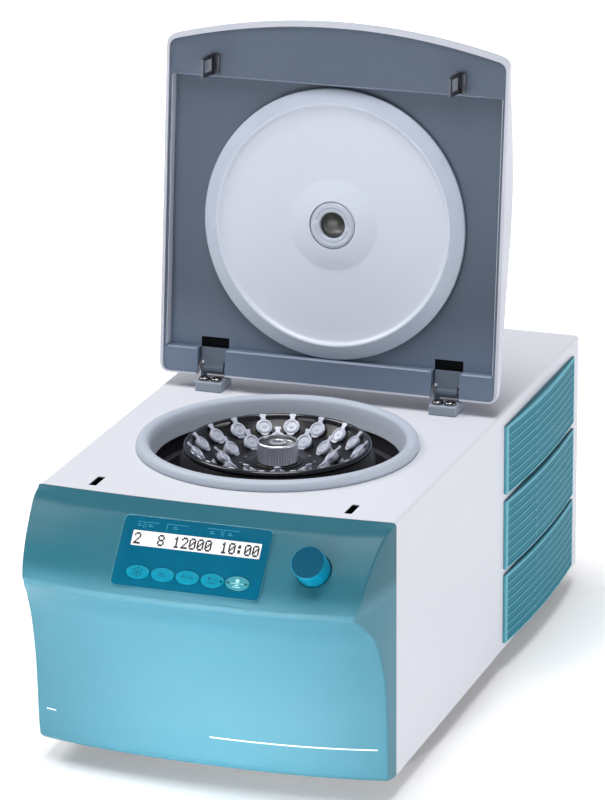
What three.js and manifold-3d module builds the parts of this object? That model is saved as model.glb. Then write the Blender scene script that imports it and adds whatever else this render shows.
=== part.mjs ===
// Refrigerated microcentrifuge, lid open. Millimetres, +Z up, +X to the right seen from the front, +Y to the rear.
// The model is laid out with y = 0 at the housing's front edge and z = 0 at the housing's lower edge,
// then moved so that its origin is the middle of its footprint, on the surface it stands on.
import * as THREE from 'three';
import { mergeVertices } from 'three/addons/utils/BufferGeometryUtils.js';
import Module from 'manifold-3d';

const wasm = await Module();
wasm.setup();

// ---- driving dimensions ----
const HALF_W = 140.5; // half the housing's width
const CASE_D = 482; // housing depth
const CASE_H = 200; // housing height without feet
const WALL = 2; // housing sheet
const FOOT_H = 18; // foot height
const ORIGIN_Y = 206.4; // from the housing's front edge to the origin
const SHELL_T = 2.6; // front shell wall
const BOWL_Y = 135.5; // rotor axis behind the housing's front edge
const RING_R = 103.2; // centre radius of the seal's bead
const RING_T = 6; // radius of the bead
const CHAMBER_R = 90; // chamber bore
const CHAMBER_FLOOR = 112;
const ROTOR_R = 71.5; // rim
const ROTOR_WIDE = 84.5; // widest place, where the tubes' feet lie
const ROTOR_TOP = 203;
const SHAFT_R = 6;
const HINGE_Y = 260.8; // lid pivot
const HINGE_Z = 214.8;
const HINGE_X = 97.5; // middle of each hinge
const LID_OPEN = 95.9; // degrees from closed to open
const LID_RIM = 11; // rim plane under the pivot, lid closed
const LID_REAR = -4; // rear edge, measured forward from the pivot
const LID_CORNER = 266.5; // front corners
const LID_FRONT = 285.7; // middle of the bowed front edge
const LID_T = 2.6;
const DISC_R = 107.6;
const PORT_R = 10.2;
const HOOK_X = 100.9;
const SLOT_Y = [5.5, 26];
const PANEL_TILT = 50; // degrees, console slope
const PANEL_Y = -51.9;
const PANEL_Z = 174.3;
const PANEL_W = 115;
const PANEL_L = 54.4;
const LCD_W = 100;
const LCD_L = 11.7;
const KEY_W = 18.4;
const KEY_L = 11;
const KEY_X = [-38.4, -19, 0.4, 19.8, 39.2];
const KEY_SLOPE = -16.2; // key centres below the panel's middle
const KNOB = [93.4, -49.8, 174.5];
const KNOB_R = 12.8;
const KNOB_PROUD = 15.8;
const VENT_Y = [271, 464.5];
const VENT_Z = [[5.5, 63], [68, 125], [131, 187.5]];
const VENT_BULGE = 6;
const LOUVRES = 8; // slots in each vent cover
const GAP = 0.3;

const model = new THREE.Group();
model.position.set(0, -ORIGIN_Y, FOOT_H);

// ---- solids ----
function toSolid(geometry) {
  let g = geometry.clone();
  for (const name of Object.keys(g.attributes)) if (name !== 'position') g.deleteAttribute(name);
  g = mergeVertices(g, 1e-4);
  const p = g.attributes.position;
  const tri = [];
  let volume = 0;
  const a = new THREE.Vector3(), b = new THREE.Vector3(), c = new THREE.Vector3();
  for (let i = 0; i < g.index.count; i += 3) {
    const t = [g.index.getX(i), g.index.getX(i + 1), g.index.getX(i + 2)];
    if (t[0] === t[1] || t[1] === t[2] || t[0] === t[2]) continue;
    a.fromBufferAttribute(p, t[0]);
    b.fromBufferAttribute(p, t[1]);
    c.fromBufferAttribute(p, t[2]);
    volume += a.dot(b.cross(c));
    tri.push(...t);
  }
  if (volume < 0) for (let i = 0; i < tri.length; i += 3) [tri[i], tri[i + 1]] = [tri[i + 1], tri[i]];
  return new wasm.Manifold(
    new wasm.Mesh({ numProp: 3, vertProperties: new Float32Array(p.array), triVerts: new Uint32Array(tri) }),
  );
}

function toGeometry(solid) {
  const m = solid.getMesh();
  const g = new THREE.BufferGeometry();
  const xyz = new Float32Array(m.numVert * 3);
  for (let i = 0; i < m.numVert; i++) for (let k = 0; k < 3; k++) xyz[i * 3 + k] = m.vertProperties[i * m.numProp + k];
  g.setAttribute('position', new THREE.BufferAttribute(xyz, 3));
  g.setIndex(new THREE.BufferAttribute(new Uint32Array(m.triVerts), 1));
  g.computeVertexNormals();
  return g;
}

const join = (...solids) => solids.reduce((s, t) => s.add(t));
const cut = (solid, ...tools) => tools.reduce((s, t) => s.subtract(t), solid);

// box between two corners
function box(x0, y0, z0, x1, y1, z1) {
  const g = new THREE.BoxGeometry(x1 - x0, y1 - y0, z1 - z0);
  g.translate((x0 + x1) / 2, (y0 + y1) / 2, (z0 + z1) / 2);
  return toSolid(g);
}

// body turned about the line x, y, along z; the profile is a list of radius, height and closes on itself or on the axis
function turned(profile, segments, x = 0, y = 0) {
  const g = new THREE.LatheGeometry(profile.map(([r, z]) => new THREE.Vector2(r, z)), segments);
  g.rotateX(Math.PI / 2);
  g.translate(x, y, 0);
  return toSolid(g);
}

// cylinder along z between two heights
const rod = (r, z0, z1, segments, x = 0, y = 0) => turned([[0, z0], [r, z0], [r, z1], [0, z1]], segments, x, y);

// cylinder along x between two places
function rodX(r, x0, x1, segments, y, z) {
  const g = new THREE.CylinderGeometry(r, r, x1 - x0, segments);
  g.rotateZ(Math.PI / 2);
  g.rotateX(Math.PI / segments);
  g.translate((x0 + x1) / 2, y, z);
  return toSolid(g);
}

// outline in plan raised between two heights
function raised(points, z0, z1, holes = []) {
  const shape = new THREE.Shape(points.map(([x, y]) => new THREE.Vector2(x, y)));
  for (const h of holes) shape.holes.push(new THREE.Path(h.map(([x, y]) => new THREE.Vector2(x, y))));
  const g = new THREE.ExtrudeGeometry(shape, { depth: z1 - z0, bevelEnabled: false });
  g.translate(0, 0, z0);
  return toSolid(g);
}

// outline in the y-z plane carried along x
function raisedX(points, x0, x1) {
  const shape = new THREE.Shape(points.map(([y, z]) => new THREE.Vector2(y, z)));
  const g = new THREE.ExtrudeGeometry(shape, { depth: x1 - x0, bevelEnabled: false });
  const m = new THREE.Matrix4().set(0, 0, 1, x0, 1, 0, 0, 0, 0, 1, 0, 0, 0, 0, 0, 1);
  g.applyMatrix4(m);
  return toSolid(g);
}

// closed body through a stack of outlines with equal numbers of points
function loft(rings) {
  const n = rings[0].length;
  const xyz = [], tri = [];
  for (const r of rings) for (const p of r) xyz.push(...p);
  for (let k = 0; k < rings.length - 1; k++) {
    for (let i = 0; i < n; i++) {
      const a = k * n + i, b = k * n + ((i + 1) % n), c = a + n, d = b + n;
      tri.push(a, b, d, a, d, c);
    }
  }
  const cap = (ring, base, up) => {
    const flat = ring.map(([x, y]) => new THREE.Vector2(x, y));
    for (const [a, b, c] of THREE.ShapeUtils.triangulateShape(flat, [])) {
      const area = (flat[b].x - flat[a].x) * (flat[c].y - flat[a].y) - (flat[b].y - flat[a].y) * (flat[c].x - flat[a].x);
      if (area > 0 === up) tri.push(base + a, base + b, base + c);
      else tri.push(base + a, base + c, base + b);
    }
  };
  cap(rings[0], 0, false);
  cap(rings[rings.length - 1], (rings.length - 1) * n, true);
  const g = new THREE.BufferGeometry();
  g.setAttribute('position', new THREE.BufferAttribute(new Float32Array(xyz), 3));
  g.setIndex(tri);
  return toSolid(g);
}

// round bar along a path
function bar(points, radius, sides, steps, closed = false) {
  const path = new THREE.CatmullRomCurve3(points.map((p) => new THREE.Vector3(...p)), closed, 'catmullrom', 0.3);
  const section = new THREE.Shape(
    [...Array(sides)].map((_, i) => new THREE.Vector2(radius * Math.cos((2 * Math.PI * i) / sides), radius * Math.sin((2 * Math.PI * i) / sides))),
  );
  return toSolid(new THREE.ExtrudeGeometry(section, { steps, extrudePath: path, bevelEnabled: false }));
}

const turn = (solid, deg, x = 0, y = 0) => solid.translate([-x, -y, 0]).rotate([0, 0, deg]).translate([x, y, 0]);

function add(group, name, solid, color, roughness = 0.6, metalness = 0) {
  const mesh = new THREE.Mesh(toGeometry(solid), new THREE.MeshStandardMaterial({ color, roughness, metalness }));
  mesh.name = name;
  group.add(mesh);
  return mesh;
}

const lerp = (t, a, b) => a + (b - a) * t;
function table(rows, key, column) {
  if (key <= rows[0][0]) return rows[0][column];
  for (let i = 1; i < rows.length; i++) {
    if (key <= rows[i][0]) return lerp((key - rows[i - 1][0]) / (rows[i][0] - rows[i - 1][0]), rows[i - 1][column], rows[i][column]);
  }
  return rows[rows.length - 1][column];
}

// ---- colours ----
const WHITE = 0xe4e3ea, TEAL = 0x5aa9bb, PANEL = 0x14708f, KEY = 0x3a9db5, SLATE = 0x6d7688;
const DISC = 0xcdd3e3, RUBBER = 0xa9b6c4, BLACK = 0x17171c, STEEL = 0xb9bbbf, DARK = 0x2a2a2e;
const COPPER = 0xb87545, GREEN = 0x2c6b46, FOAM = 0x3b3b3f, HINGE = 0x8c97a5, CLEAR = 0xdfe6ee;

// ---- housing ----
// curved front edge of the top sheet
const topEdge = (x, off = 0) => -2.5 - 5.5 * (1 - (x / HALF_W) ** 2) + off;
const across = (n, half) => [...Array(n + 1)].map((_, i) => lerp(i / n, -half, half));

const section = (w, top, r, low) => [
  [-w, low], [w, low], [w, top - r], [w - r * 0.3, top - r * 0.3], [w - r, top],
  [-w + r, top], [-w + r * 0.3, top - r * 0.3], [-w, top - r],
];
const alongY = (points, y0, y1) => {
  const shape = new THREE.Shape(points.map(([x, z]) => new THREE.Vector2(x, z)));
  const g = new THREE.ExtrudeGeometry(shape, { depth: y1 - y0, bevelEnabled: false });
  g.rotateX(Math.PI / 2);
  g.translate(0, y1, 0);
  return toSolid(g);
};
{
  let body = alongY(section(HALF_W, CASE_H, 3, 0), -9, CASE_D);
  body = cut(body, alongY(section(HALF_W - WALL, CASE_H - WALL, 1.5, -5), -20, CASE_D + 10));
  const plan = [...across(12, HALF_W + 1).map((x) => [x, topEdge(x)]), [HALF_W + 1, CASE_D + 1], [-HALF_W - 1, CASE_D + 1]];
  body = body.intersect(raised(plan, -1, CASE_H + 1));
  body = cut(body, box(-150, -20, -1, 150, 0, CASE_H - WALL));
  body = cut(body, rod(101.2, CASE_H - 10, CASE_H + 10, 28, 0, BOWL_Y));
  for (const s of [-1, 1]) {
    body = cut(body, box(s * HOOK_X - 3, SLOT_Y[0], CASE_H - 5, s * HOOK_X + 3, SLOT_Y[1], CASE_H + 5));
    for (const dx of [-5, 5]) body = cut(body, rod(2.4, CASE_H - 5, CASE_H + 5, 8, s * HINGE_X + dx, 250));
    for (const [z0, z1] of VENT_Z) {
      const x0 = Math.min(s * (HALF_W - 6), s * (HALF_W + 6)), x1 = Math.max(s * (HALF_W - 6), s * (HALF_W + 6));
      body = cut(body, box(x0, VENT_Y[0] + 7, z0 + 6, x1, VENT_Y[1] - 7, z1 - 6));
    }
  }
  add(model, 'housing_case', body, WHITE, 0.45);
}
{
  let tray = box(-138.2, 0.6, 0, 138.2, 479.2, 13);
  tray = cut(tray, box(-136.2, 2.6, 2, 136.2, 477.2, 20));
  for (const [x, y] of [[-112, 48], [112, 48], [-112, 436], [112, 436]]) tray = cut(tray, rod(3, -2, 6, 10, x, y));
  add(model, 'base_tray', tray, 0x8d9096, 0.5, 0.6);
}
{
  let back = alongY(section(138.2, 197.6, 2.4, 0.3), 479.5, CASE_D);
  back = cut(back, box(-121, 470, 22, -69, 490, 52));
  for (let i = 0; i < 7; i++) back = cut(back, box(-30, 470, 40 + i * 14, 110, 490, 46 + i * 14));
  add(model, 'rear_panel', back, WHITE, 0.5);
}
for (const [name, x, y] of [['front_left', -112, 48], ['front_right', 112, 48], ['rear_left', -112, 436], ['rear_right', 112, 436]]) {
  const foot = turned([[0, -FOOT_H], [13, -FOOT_H], [15.5, -14], [15.5, -GAP], [2.6, -GAP], [2.6, 9], [0, 9]], 12, x, y);
  add(model, `foot_${name}`, foot, DARK, 0.85);
}

// ---- front shell: outlines at rising heights: height, corner y, corner x, bow of the middle ----
const SHELL = [
  [0, -12.5, 138, 13.5], [3, -15.6, 139.3, 12.6], [20, -17.1, 139.7, 12], [60, -19.6, 139.6, 11], [80, -22.4, 139.5, 10.8],
  [100, -28.5, 138.5, 10.6], [110, -32.5, 137.9, 10.6], [120, -38.7, 136.8, 10.7], [130, -48.3, 133.7, 10.9], [140, -59.7, 130.5, 11],
  [144, -63.2, 129.3, 11.2], [147, -63.5, 129.9, 11.2], [150, -61.4, 131, 11.2], [155, -58.5, 131.9, 11.5], [160, -54.4, 132.9, 12],
  [170, -46.6, 134.3, 13.3], [180, -36.9, 135.7, 14.6], [190, -25.3, 137.4, 16], [195, -17.5, 138.5, 16.4], [197, -8.5, 139.8, 16.5],
  [199.7, -3, 140.2, 6],
];
const smooth = (t) => { const u = Math.min(1, Math.max(0, t)); return u * u * (3 - 2 * u); };
const chord = (z) => -16.2 - ((196 - z) / 49) * 47.3; // straight console slope
function shellY(x, z) {
  let y = table(SHELL, z, 1);
  const xe = table(SHELL, z, 2), bow = table(SHELL, z, 3);
  if (z > 147 && z < 196) {
    const bulge = y - chord(z);
    y = chord(z) + bulge * (0.25 + 0.75 * smooth((Math.abs(x) - 60) / 50));
  }
  return y - bow * (1 - Math.min(1, Math.abs(x) / xe) ** 2.5);
}
function shellRing(z, inset, back, n, lift = 0) {
  const xe = table(SHELL, z, 2) - inset, w = HALF_W - 0.1 - inset;
  const ring = [[-w, back, z + lift]];
  const front = (x) => [x, shellY(x * (xe + inset) / xe, z) + inset, z + lift];
  const corner = front(xe);
  ring.push([-lerp(0.2, xe, w), lerp(0.2, corner[1], back), z + lift]);
  for (const x of across(n, xe - 2.2)) ring.push(front(x));
  ring.push([lerp(0.2, xe, w), lerp(0.2, corner[1], back), z + lift], [w, back, z + lift]);
  return ring;
}
const tilted = (solid, x, y, z) => solid.rotate([PANEL_TILT, 0, 0]).translate([x, y, z]);
const oval = (w, l, n, x = 0, y = 0) => [...Array(n)].map((_, i) => [x + (w / 2) * Math.cos((2 * Math.PI * i) / n), y + (l / 2) * Math.sin((2 * Math.PI * i) / n)]);
function plate(w, l, r, z0, z1, steps = 3) {
  const points = [];
  for (const [cx, cy, a0] of [[w / 2 - r, l / 2 - r, 0], [-w / 2 + r, l / 2 - r, 90], [-w / 2 + r, -l / 2 + r, 180], [w / 2 - r, -l / 2 + r, 270]]) {
    for (let i = 0; i <= steps; i++) {
      const a = ((a0 + (90 * i) / steps) * Math.PI) / 180;
      points.push([cx + r * Math.cos(a), cy + r * Math.sin(a)]);
    }
  }
  return raised(points, z0, z1);
}
{
  let shell = loft(SHELL.filter(([z]) => ![110, 155].includes(z)).map(([z]) => shellRing(z, 0, -GAP, 10)));
  const inner = SHELL.filter(([z]) => ![3, 60, 110, 144, 155, 190, 197].includes(z)).map(([z]) => z);
  const hollow = loft(inner.map((z) => {
    const up = z === 0 ? SHELL_T : z > 194 ? 196 - SHELL_T - z + (z > 197 ? 1.3 : 0) : 0;
    return shellRing(z, SHELL_T, 6, 8, up);
  }));
  shell = cut(shell, hollow);
  // room for the housing's top sheet
  const over = [...across(12, HALF_W + 5).map((x) => [x, topEdge(x, -GAP)]), [HALF_W + 5, 20], [-HALF_W - 5, 20]];
  shell = cut(shell, raised(over, CASE_H - WALL - GAP, CASE_H + 5));
  shell = cut(shell, tilted(plate(PANEL_W + 0.6, PANEL_L + 0.6, 4.3, -2.7, 8), 0, PANEL_Y, PANEL_Z));
  shell = cut(shell, tilted(plate(PANEL_W - 8, PANEL_L - 8, 3, -12, 8), 0, PANEL_Y, PANEL_Z));
  shell = cut(shell, tilted(rod(KNOB_R + 0.9, -12, 12, 24), ...KNOB));
  add(model, 'front_shell', shell, TEAL, 0.4);
}
{
  const keyHoles = KEY_X.map((x) => oval(KEY_W + 0.8, KEY_L + 0.8, 16, x, KEY_SLOPE));
  let panel = plate(PANEL_W, PANEL_L, 4, -2.4, 0);
  panel = cut(panel, box(-LCD_W / 2 + 1, 10.3 - LCD_L / 2, -5, LCD_W / 2 + 1, 10.3 + LCD_L / 2, 5));
  for (const h of keyHoles) panel = cut(panel, raised(h, -5, 5));
  add(model, 'control_panel', tilted(panel, 0, PANEL_Y, PANEL_Z), PANEL, 0.35);
  add(model, 'lcd_display', tilted(box(-52, 2, -6.5, 52.6, 18.6, -2.7), 0, PANEL_Y, PANEL_Z), 0xf2f2f0, 0.3);
  let board = box(-56, -22, -9.6, 106, 20, -8);
  board = join(board, rod(7, -8.5, -5.4, 12, 93.4, 1.4));
  for (const x of KEY_X) board = join(board, box(x - 3, KEY_SLOPE - 3, -8.5, x + 3, KEY_SLOPE + 3, -5.6));
  add(model, 'display_board', tilted(board, 0, PANEL_Y, PANEL_Z), GREEN, 0.5);
  ['key_cooling', 'key_rcf', 'key_select', 'key_start', 'key_stop'].forEach((name, i) => {
    const top = raised(oval(KEY_W, KEY_L, 16, KEY_X[i], KEY_SLOPE), -2.4, 0.6);
    const stem = raised(oval(7, 6, 8, KEY_X[i], KEY_SLOPE), -4.8, -2);
    add(model, name, tilted(join(top, stem), 0, PANEL_Y, PANEL_Z), KEY, 0.4);
  });
  const knob = turned([[0, -3.2], [12.2, -3.2], [KNOB_R, -2.6], [KNOB_R, KNOB_PROUD - 0.9], [12.2, KNOB_PROUD - 0.1], [10.8, KNOB_PROUD], [0, KNOB_PROUD - 0.5]], 24);
  add(model, 'control_knob', tilted(knob, ...KNOB), 0x2f7e93, 0.35);
}

// ---- side vents ----
for (const side of [-1, 1]) {
  VENT_Z.forEach(([z0, z1], row) => {
    const n = 4, mid = (VENT_Y[0] + VENT_Y[1]) / 2, half = (VENT_Y[1] - VENT_Y[0]) / 2;
    const bulge = (y, off, h) => HALF_W + GAP + off + (VENT_BULGE - 2) * (1 - ((y - mid) / h) ** 2);
    const outline = (off, h, back) => {
      const pts = across(n, h).map((t) => [bulge(mid + t, off, h), mid + t]);
      return [[back, mid - h], ...pts, [back, mid + h]].map(([x, y]) => [x, y]);
    };
    let vent = raised(outline(2, half, HALF_W + GAP), z0, z1);
    vent = cut(vent, raised(outline(0, half - 2, HALF_W - 4), z0 + 2, z1 - 2));
    const pitch = (z1 - z0 - 6) / LOUVRES;
    for (let i = 0; i < LOUVRES; i++) {
      const z = z0 + 3 + pitch * (i + 0.5);
      vent = cut(vent, box(HALF_W - 2, VENT_Y[0] + 6, z - 1.4, HALF_W + 12, VENT_Y[1] - 6, z + 1.4));
    }
    if (side < 0) vent = vent.mirror([1, 0, 0]);
    add(model, `vent_${side < 0 ? 'left' : 'right'}_${['lower', 'middle', 'upper'][row]}`, vent, 0x3f8798, 0.5);
  });
}

// ---- bowl: seal, chamber, coil, foam ----
{
  const seal = [
    [108.4, CASE_H + GAP], [109.2, 202.8], [107.4, 206.4], [RING_R, 207.9], [99, 206.2], [97, 201.5],
    [95.6, 178.3], [99.4, 178.3], [100, 198.5], [100, CASE_H + GAP], [108.4, CASE_H + GAP],
  ];
  add(model, 'bowl_seal', turned(seal, 28, 0, BOWL_Y), RUBBER, 0.7);
  const f = CHAMBER_FLOOR;
  const bowl = [
    [14, f], [14, f + 8], [16, f + 8], [16, f + 2], [82, f + 2], [CHAMBER_R, f + 10], [CHAMBER_R, 178], [98, 178],
    [98, 176], [CHAMBER_R + 2, 176], [CHAMBER_R + 2, f + 9], [83, f], [14, f],
  ];
  add(model, 'rotor_chamber', turned(bowl, 28, 0, BOWL_Y), 0x2b2626, 0.45, 0.5);
  let foam = turned([[22, 98], [118, 98], [118, 160], [103, 160], [103, 109], [22, 109], [22, 98]], 24, 0, BOWL_Y);
  foam = cut(foam, box(-14, BOWL_Y + 90, 138, 14, BOWL_Y + 130, 180));
  add(model, 'chamber_insulation', foam, FOAM, 0.95);
  const turns = 4, steps = 14, coil = [];
  for (let i = 0; i <= turns * steps; i++) {
    const a = (2 * Math.PI * i) / steps + Math.PI / 2;
    coil.push([98.2 * Math.cos(a), BOWL_Y + 98.2 * Math.sin(a), 118 + (32 * i) / (turns * steps)]);
  }
  add(model, 'evaporator_coil', bar(coil, 3, 6, turns * steps), COPPER, 0.35, 0.9);
}

// ---- drive ----
{
  add(model, 'motor_damper', turned([[34, 2.3], [52, 2.3], [50, 13], [36, 13], [34, 2.3]], 20, 0, BOWL_Y), DARK, 0.9);
  let mount = raised(oval(150, 150, 6, 0, BOWL_Y), 13.3, 16.3);
  mount = cut(mount, rod(12, 10, 20, 14, 0, BOWL_Y));
  add(model, 'motor_mount_plate', mount, STEEL, 0.4, 0.9);
  const r = SHAFT_R + 1;
  const motor = [[r, 16.6], [44, 16.6], [46, 19], [46, 84], [43, 88], [20, 90], [18, 96], [r, 96], [r, 16.6]];
  let body = turned(motor, 20, 0, BOWL_Y);
  for (let i = 0; i < 6; i++) body = cut(body, turn(box(42.5, BOWL_Y - 4, 26, 50, BOWL_Y + 4, 78), i * 60, 0, BOWL_Y));
  add(model, 'motor_housing', body, 0x55585e, 0.5, 0.7);
  // steel shaft with the cone that the rotor sits on
  const shaft = [[0, 20], [SHAFT_R, 20], [SHAFT_R, 140], [9.5, 141], [9.5, 146], [7.5, 168], [4, 169], [4, 197], [0, 197]];
  add(model, 'drive_shaft', turned(shaft, 16, 0, BOWL_Y), STEEL, 0.25, 1);
}

// ---- rotor: bored dish, and its nut ----
{
  const profile = [
    [7.9, 168.6], [10.2, 146], [10.2, 143], [24, 143], [58, 148], [79, 157], [ROTOR_WIDE, 165], [ROTOR_WIDE, 172], [ROTOR_R + 1, 197],
    [ROTOR_R, ROTOR_TOP], [68.6, ROTOR_TOP], [66.8, 198.6], [60.5, 191.6], [46, 187.4], [20, 186.6], [18.6, 188.2], [4.4, 188.2], [4.4, 169.4], [7.9, 168.6],
  ];
  let rotor = turned(profile, 24, 0, BOWL_Y);
  const bore = (radius, height, depth, angle) => {
    // tube bore leaning in at 45 degrees: its foot points out
    const g = new THREE.CylinderGeometry(5.7, 5, depth, 6);
    g.rotateX(Math.PI / 2);
    g.translate(0, 0, -depth / 2 + 9);
    g.rotateY(-Math.PI / 4);
    g.translate(radius, 0, height);
    g.rotateZ(angle);
    g.translate(0, BOWL_Y, 0);
    return toSolid(g);
  };
  for (let i = 0; i < 18; i++) rotor = cut(rotor, bore(59, 191, 34, ((20 * i - 0.56) * Math.PI) / 180));
  for (let i = 0; i < 12; i++) rotor = cut(rotor, bore(40, 187.2, 34, ((30 * i + 19.44) * Math.PI) / 180));
  add(model, 'rotor', rotor, 0x1d1e26, 0.35, 0.6);
  let nut = turned([[4.4, 188.6], [15.5, 188.6], [15.9, 190], [15.9, 202.6], [14.6, 204.4], [11, 204.4], [10, 202], [4.4, 202], [4.4, 188.6]], 20, 0, BOWL_Y);
  for (let i = 0; i < 10; i++) nut = cut(nut, turn(rod(1.2, 187, 199, 4, 16.3, BOWL_Y), i * 36, 0, BOWL_Y));
  add(model, 'rotor_nut', nut, 0xc9c6c2, 0.25, 1);
}

// ---- lid lock ----
{
  let unit = box(-118, 2.8, 164, 118, 30.5, 189);
  unit = cut(unit, box(-130, 4.8, 166, 130, 28.5, 187));
  for (const s of [-1, 1]) unit = cut(unit, box(s * HOOK_X - 3.2, 5.5, 180, s * HOOK_X + 3.2, 26.2, 195));
  add(model, 'lock_unit', unit, STEEL, 0.4, 0.8);
  // posts with a tongue each, which enter the hooks' windows when the bar slides to the left
  let slide = box(-97, 7, 168, 114, 26, 171);
  for (const x of [-97.6, 104.4]) slide = join(slide, box(x + 5.6, 12, 170, x + 9.6, 18, 186), box(x, 12, 182, x + 6, 18, 186));
  add(model, 'lock_bar', slide, 0x9c9fa3, 0.3, 1);
}

// ---- hinge, on the housing ----
for (const s of [-1, 1]) {
  const side = s < 0 ? 'left' : 'right', x = s * HINGE_X;
  const z0 = CASE_H + GAP, y = HINGE_Y, z = HINGE_Z;
  let bracket = raisedX([[244, z0], [268.5, z0], [268.5, 205], [266.8, 206.8], [257, 208.2], [245, 208.2], [244, 207.2]], x - 11, x + 11);
  const ear = [[y - 4.4, 206], [y + 6, 206], [y + 4.6, z + 1.5], [y + 2.8, z + 4.2], [y - 2.4, z + 4.2], [y - 4.4, z + 2]];
  bracket = join(bracket, raisedX(ear, x - 11, x - 8.7), raisedX(ear, x + 8.7, x + 11));
  bracket = cut(bracket, rodX(3.1, x - 20, x + 20, 12, y, z));
  for (const dx of [-5, 5]) bracket = cut(bracket, rod(2.4, z0 - 3, 212, 8, x + dx, 250));
  add(model, `hinge_bracket_${side}`, bracket, HINGE, 0.5, 0.1);
  add(model, `hinge_pin_${side}`, rodX(2.7, x - 11, x + 11, 12, y, z), STEEL, 0.3, 1);
  ['outer', 'inner'].forEach((at, i) => {
    const sx = x + (i === 0 ? 5 * s : -5 * s);
    const screw = turned([[0, 190], [1.9, 190], [1.9, 208.5], [4.8, 208.5], [4.7, 209.5], [3.3, 210.9], [0, 211.2]], 12, sx, 250);
    add(model, `hinge_screw_${side}_${at}`, screw, 0xc8cacd, 0.12, 1);
  });
}

// ---- lid, drawn closed about its pivot, then turned open ----
// s runs forward from the pivot, height is measured from the pivot
const lid = new THREE.Group();
lid.position.set(0, HINGE_Y, HINGE_Z);
lid.rotation.x = (-LID_OPEN * Math.PI) / 180;
model.add(lid);

const LID_WALL = [ // forward place, height of the side wall above the rim
  [-4, 5.2], [0, 6], [12, 8], [54, 11.9], [97, 17], [140, 22], [165, 22.4], [190, 19], [210, 15], [232, 9.8], [251, 7], [265, 6], [286, 5.6],
];
const frontEdge = (x) => LID_FRONT - (LID_FRONT - LID_CORNER) * (Math.abs(x) / HALF_W) ** 2;
// plan outline of the lid, counted round counterclockwise, in x and s turned to y = -s
function lidOutline(inset, rear = LID_REAR, front = null, corner = 7) {
  const w = HALF_W - inset, r = Math.max(1, corner - inset);
  const pts = [];
  const yr = -(rear + inset);
  const fy = (x) => -(front === null ? frontEdge(x) - inset : front);
  // rear edge from right to left
  pts.push([w, yr - r], [w - r * 0.3, yr - r * 0.3], [w - r, yr]);
  for (const x of across(6, w - r).reverse().slice(1, -1)) pts.push([x, yr]);
  pts.push([-w + r, yr], [-w + r * 0.3, yr - r * 0.3], [-w, yr - r]);
  const side = 7, ye = fy(w) + r;
  for (let i = 1; i < side; i++) pts.push([-w, lerp(i / side, yr - r, ye)]);
  pts.push([-w, ye], [-w + r * 0.3, fy(w - r) + r * 0.35]);
  for (const x of across(12, w - r)) pts.push([x, fy(x)]);
  pts.push([w - r * 0.3, fy(w - r) + r * 0.35], [w, ye]);
  for (let i = side - 1; i > 0; i--) pts.push([w, lerp(i / side, yr - r, ye)]);
  return pts;
}
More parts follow.
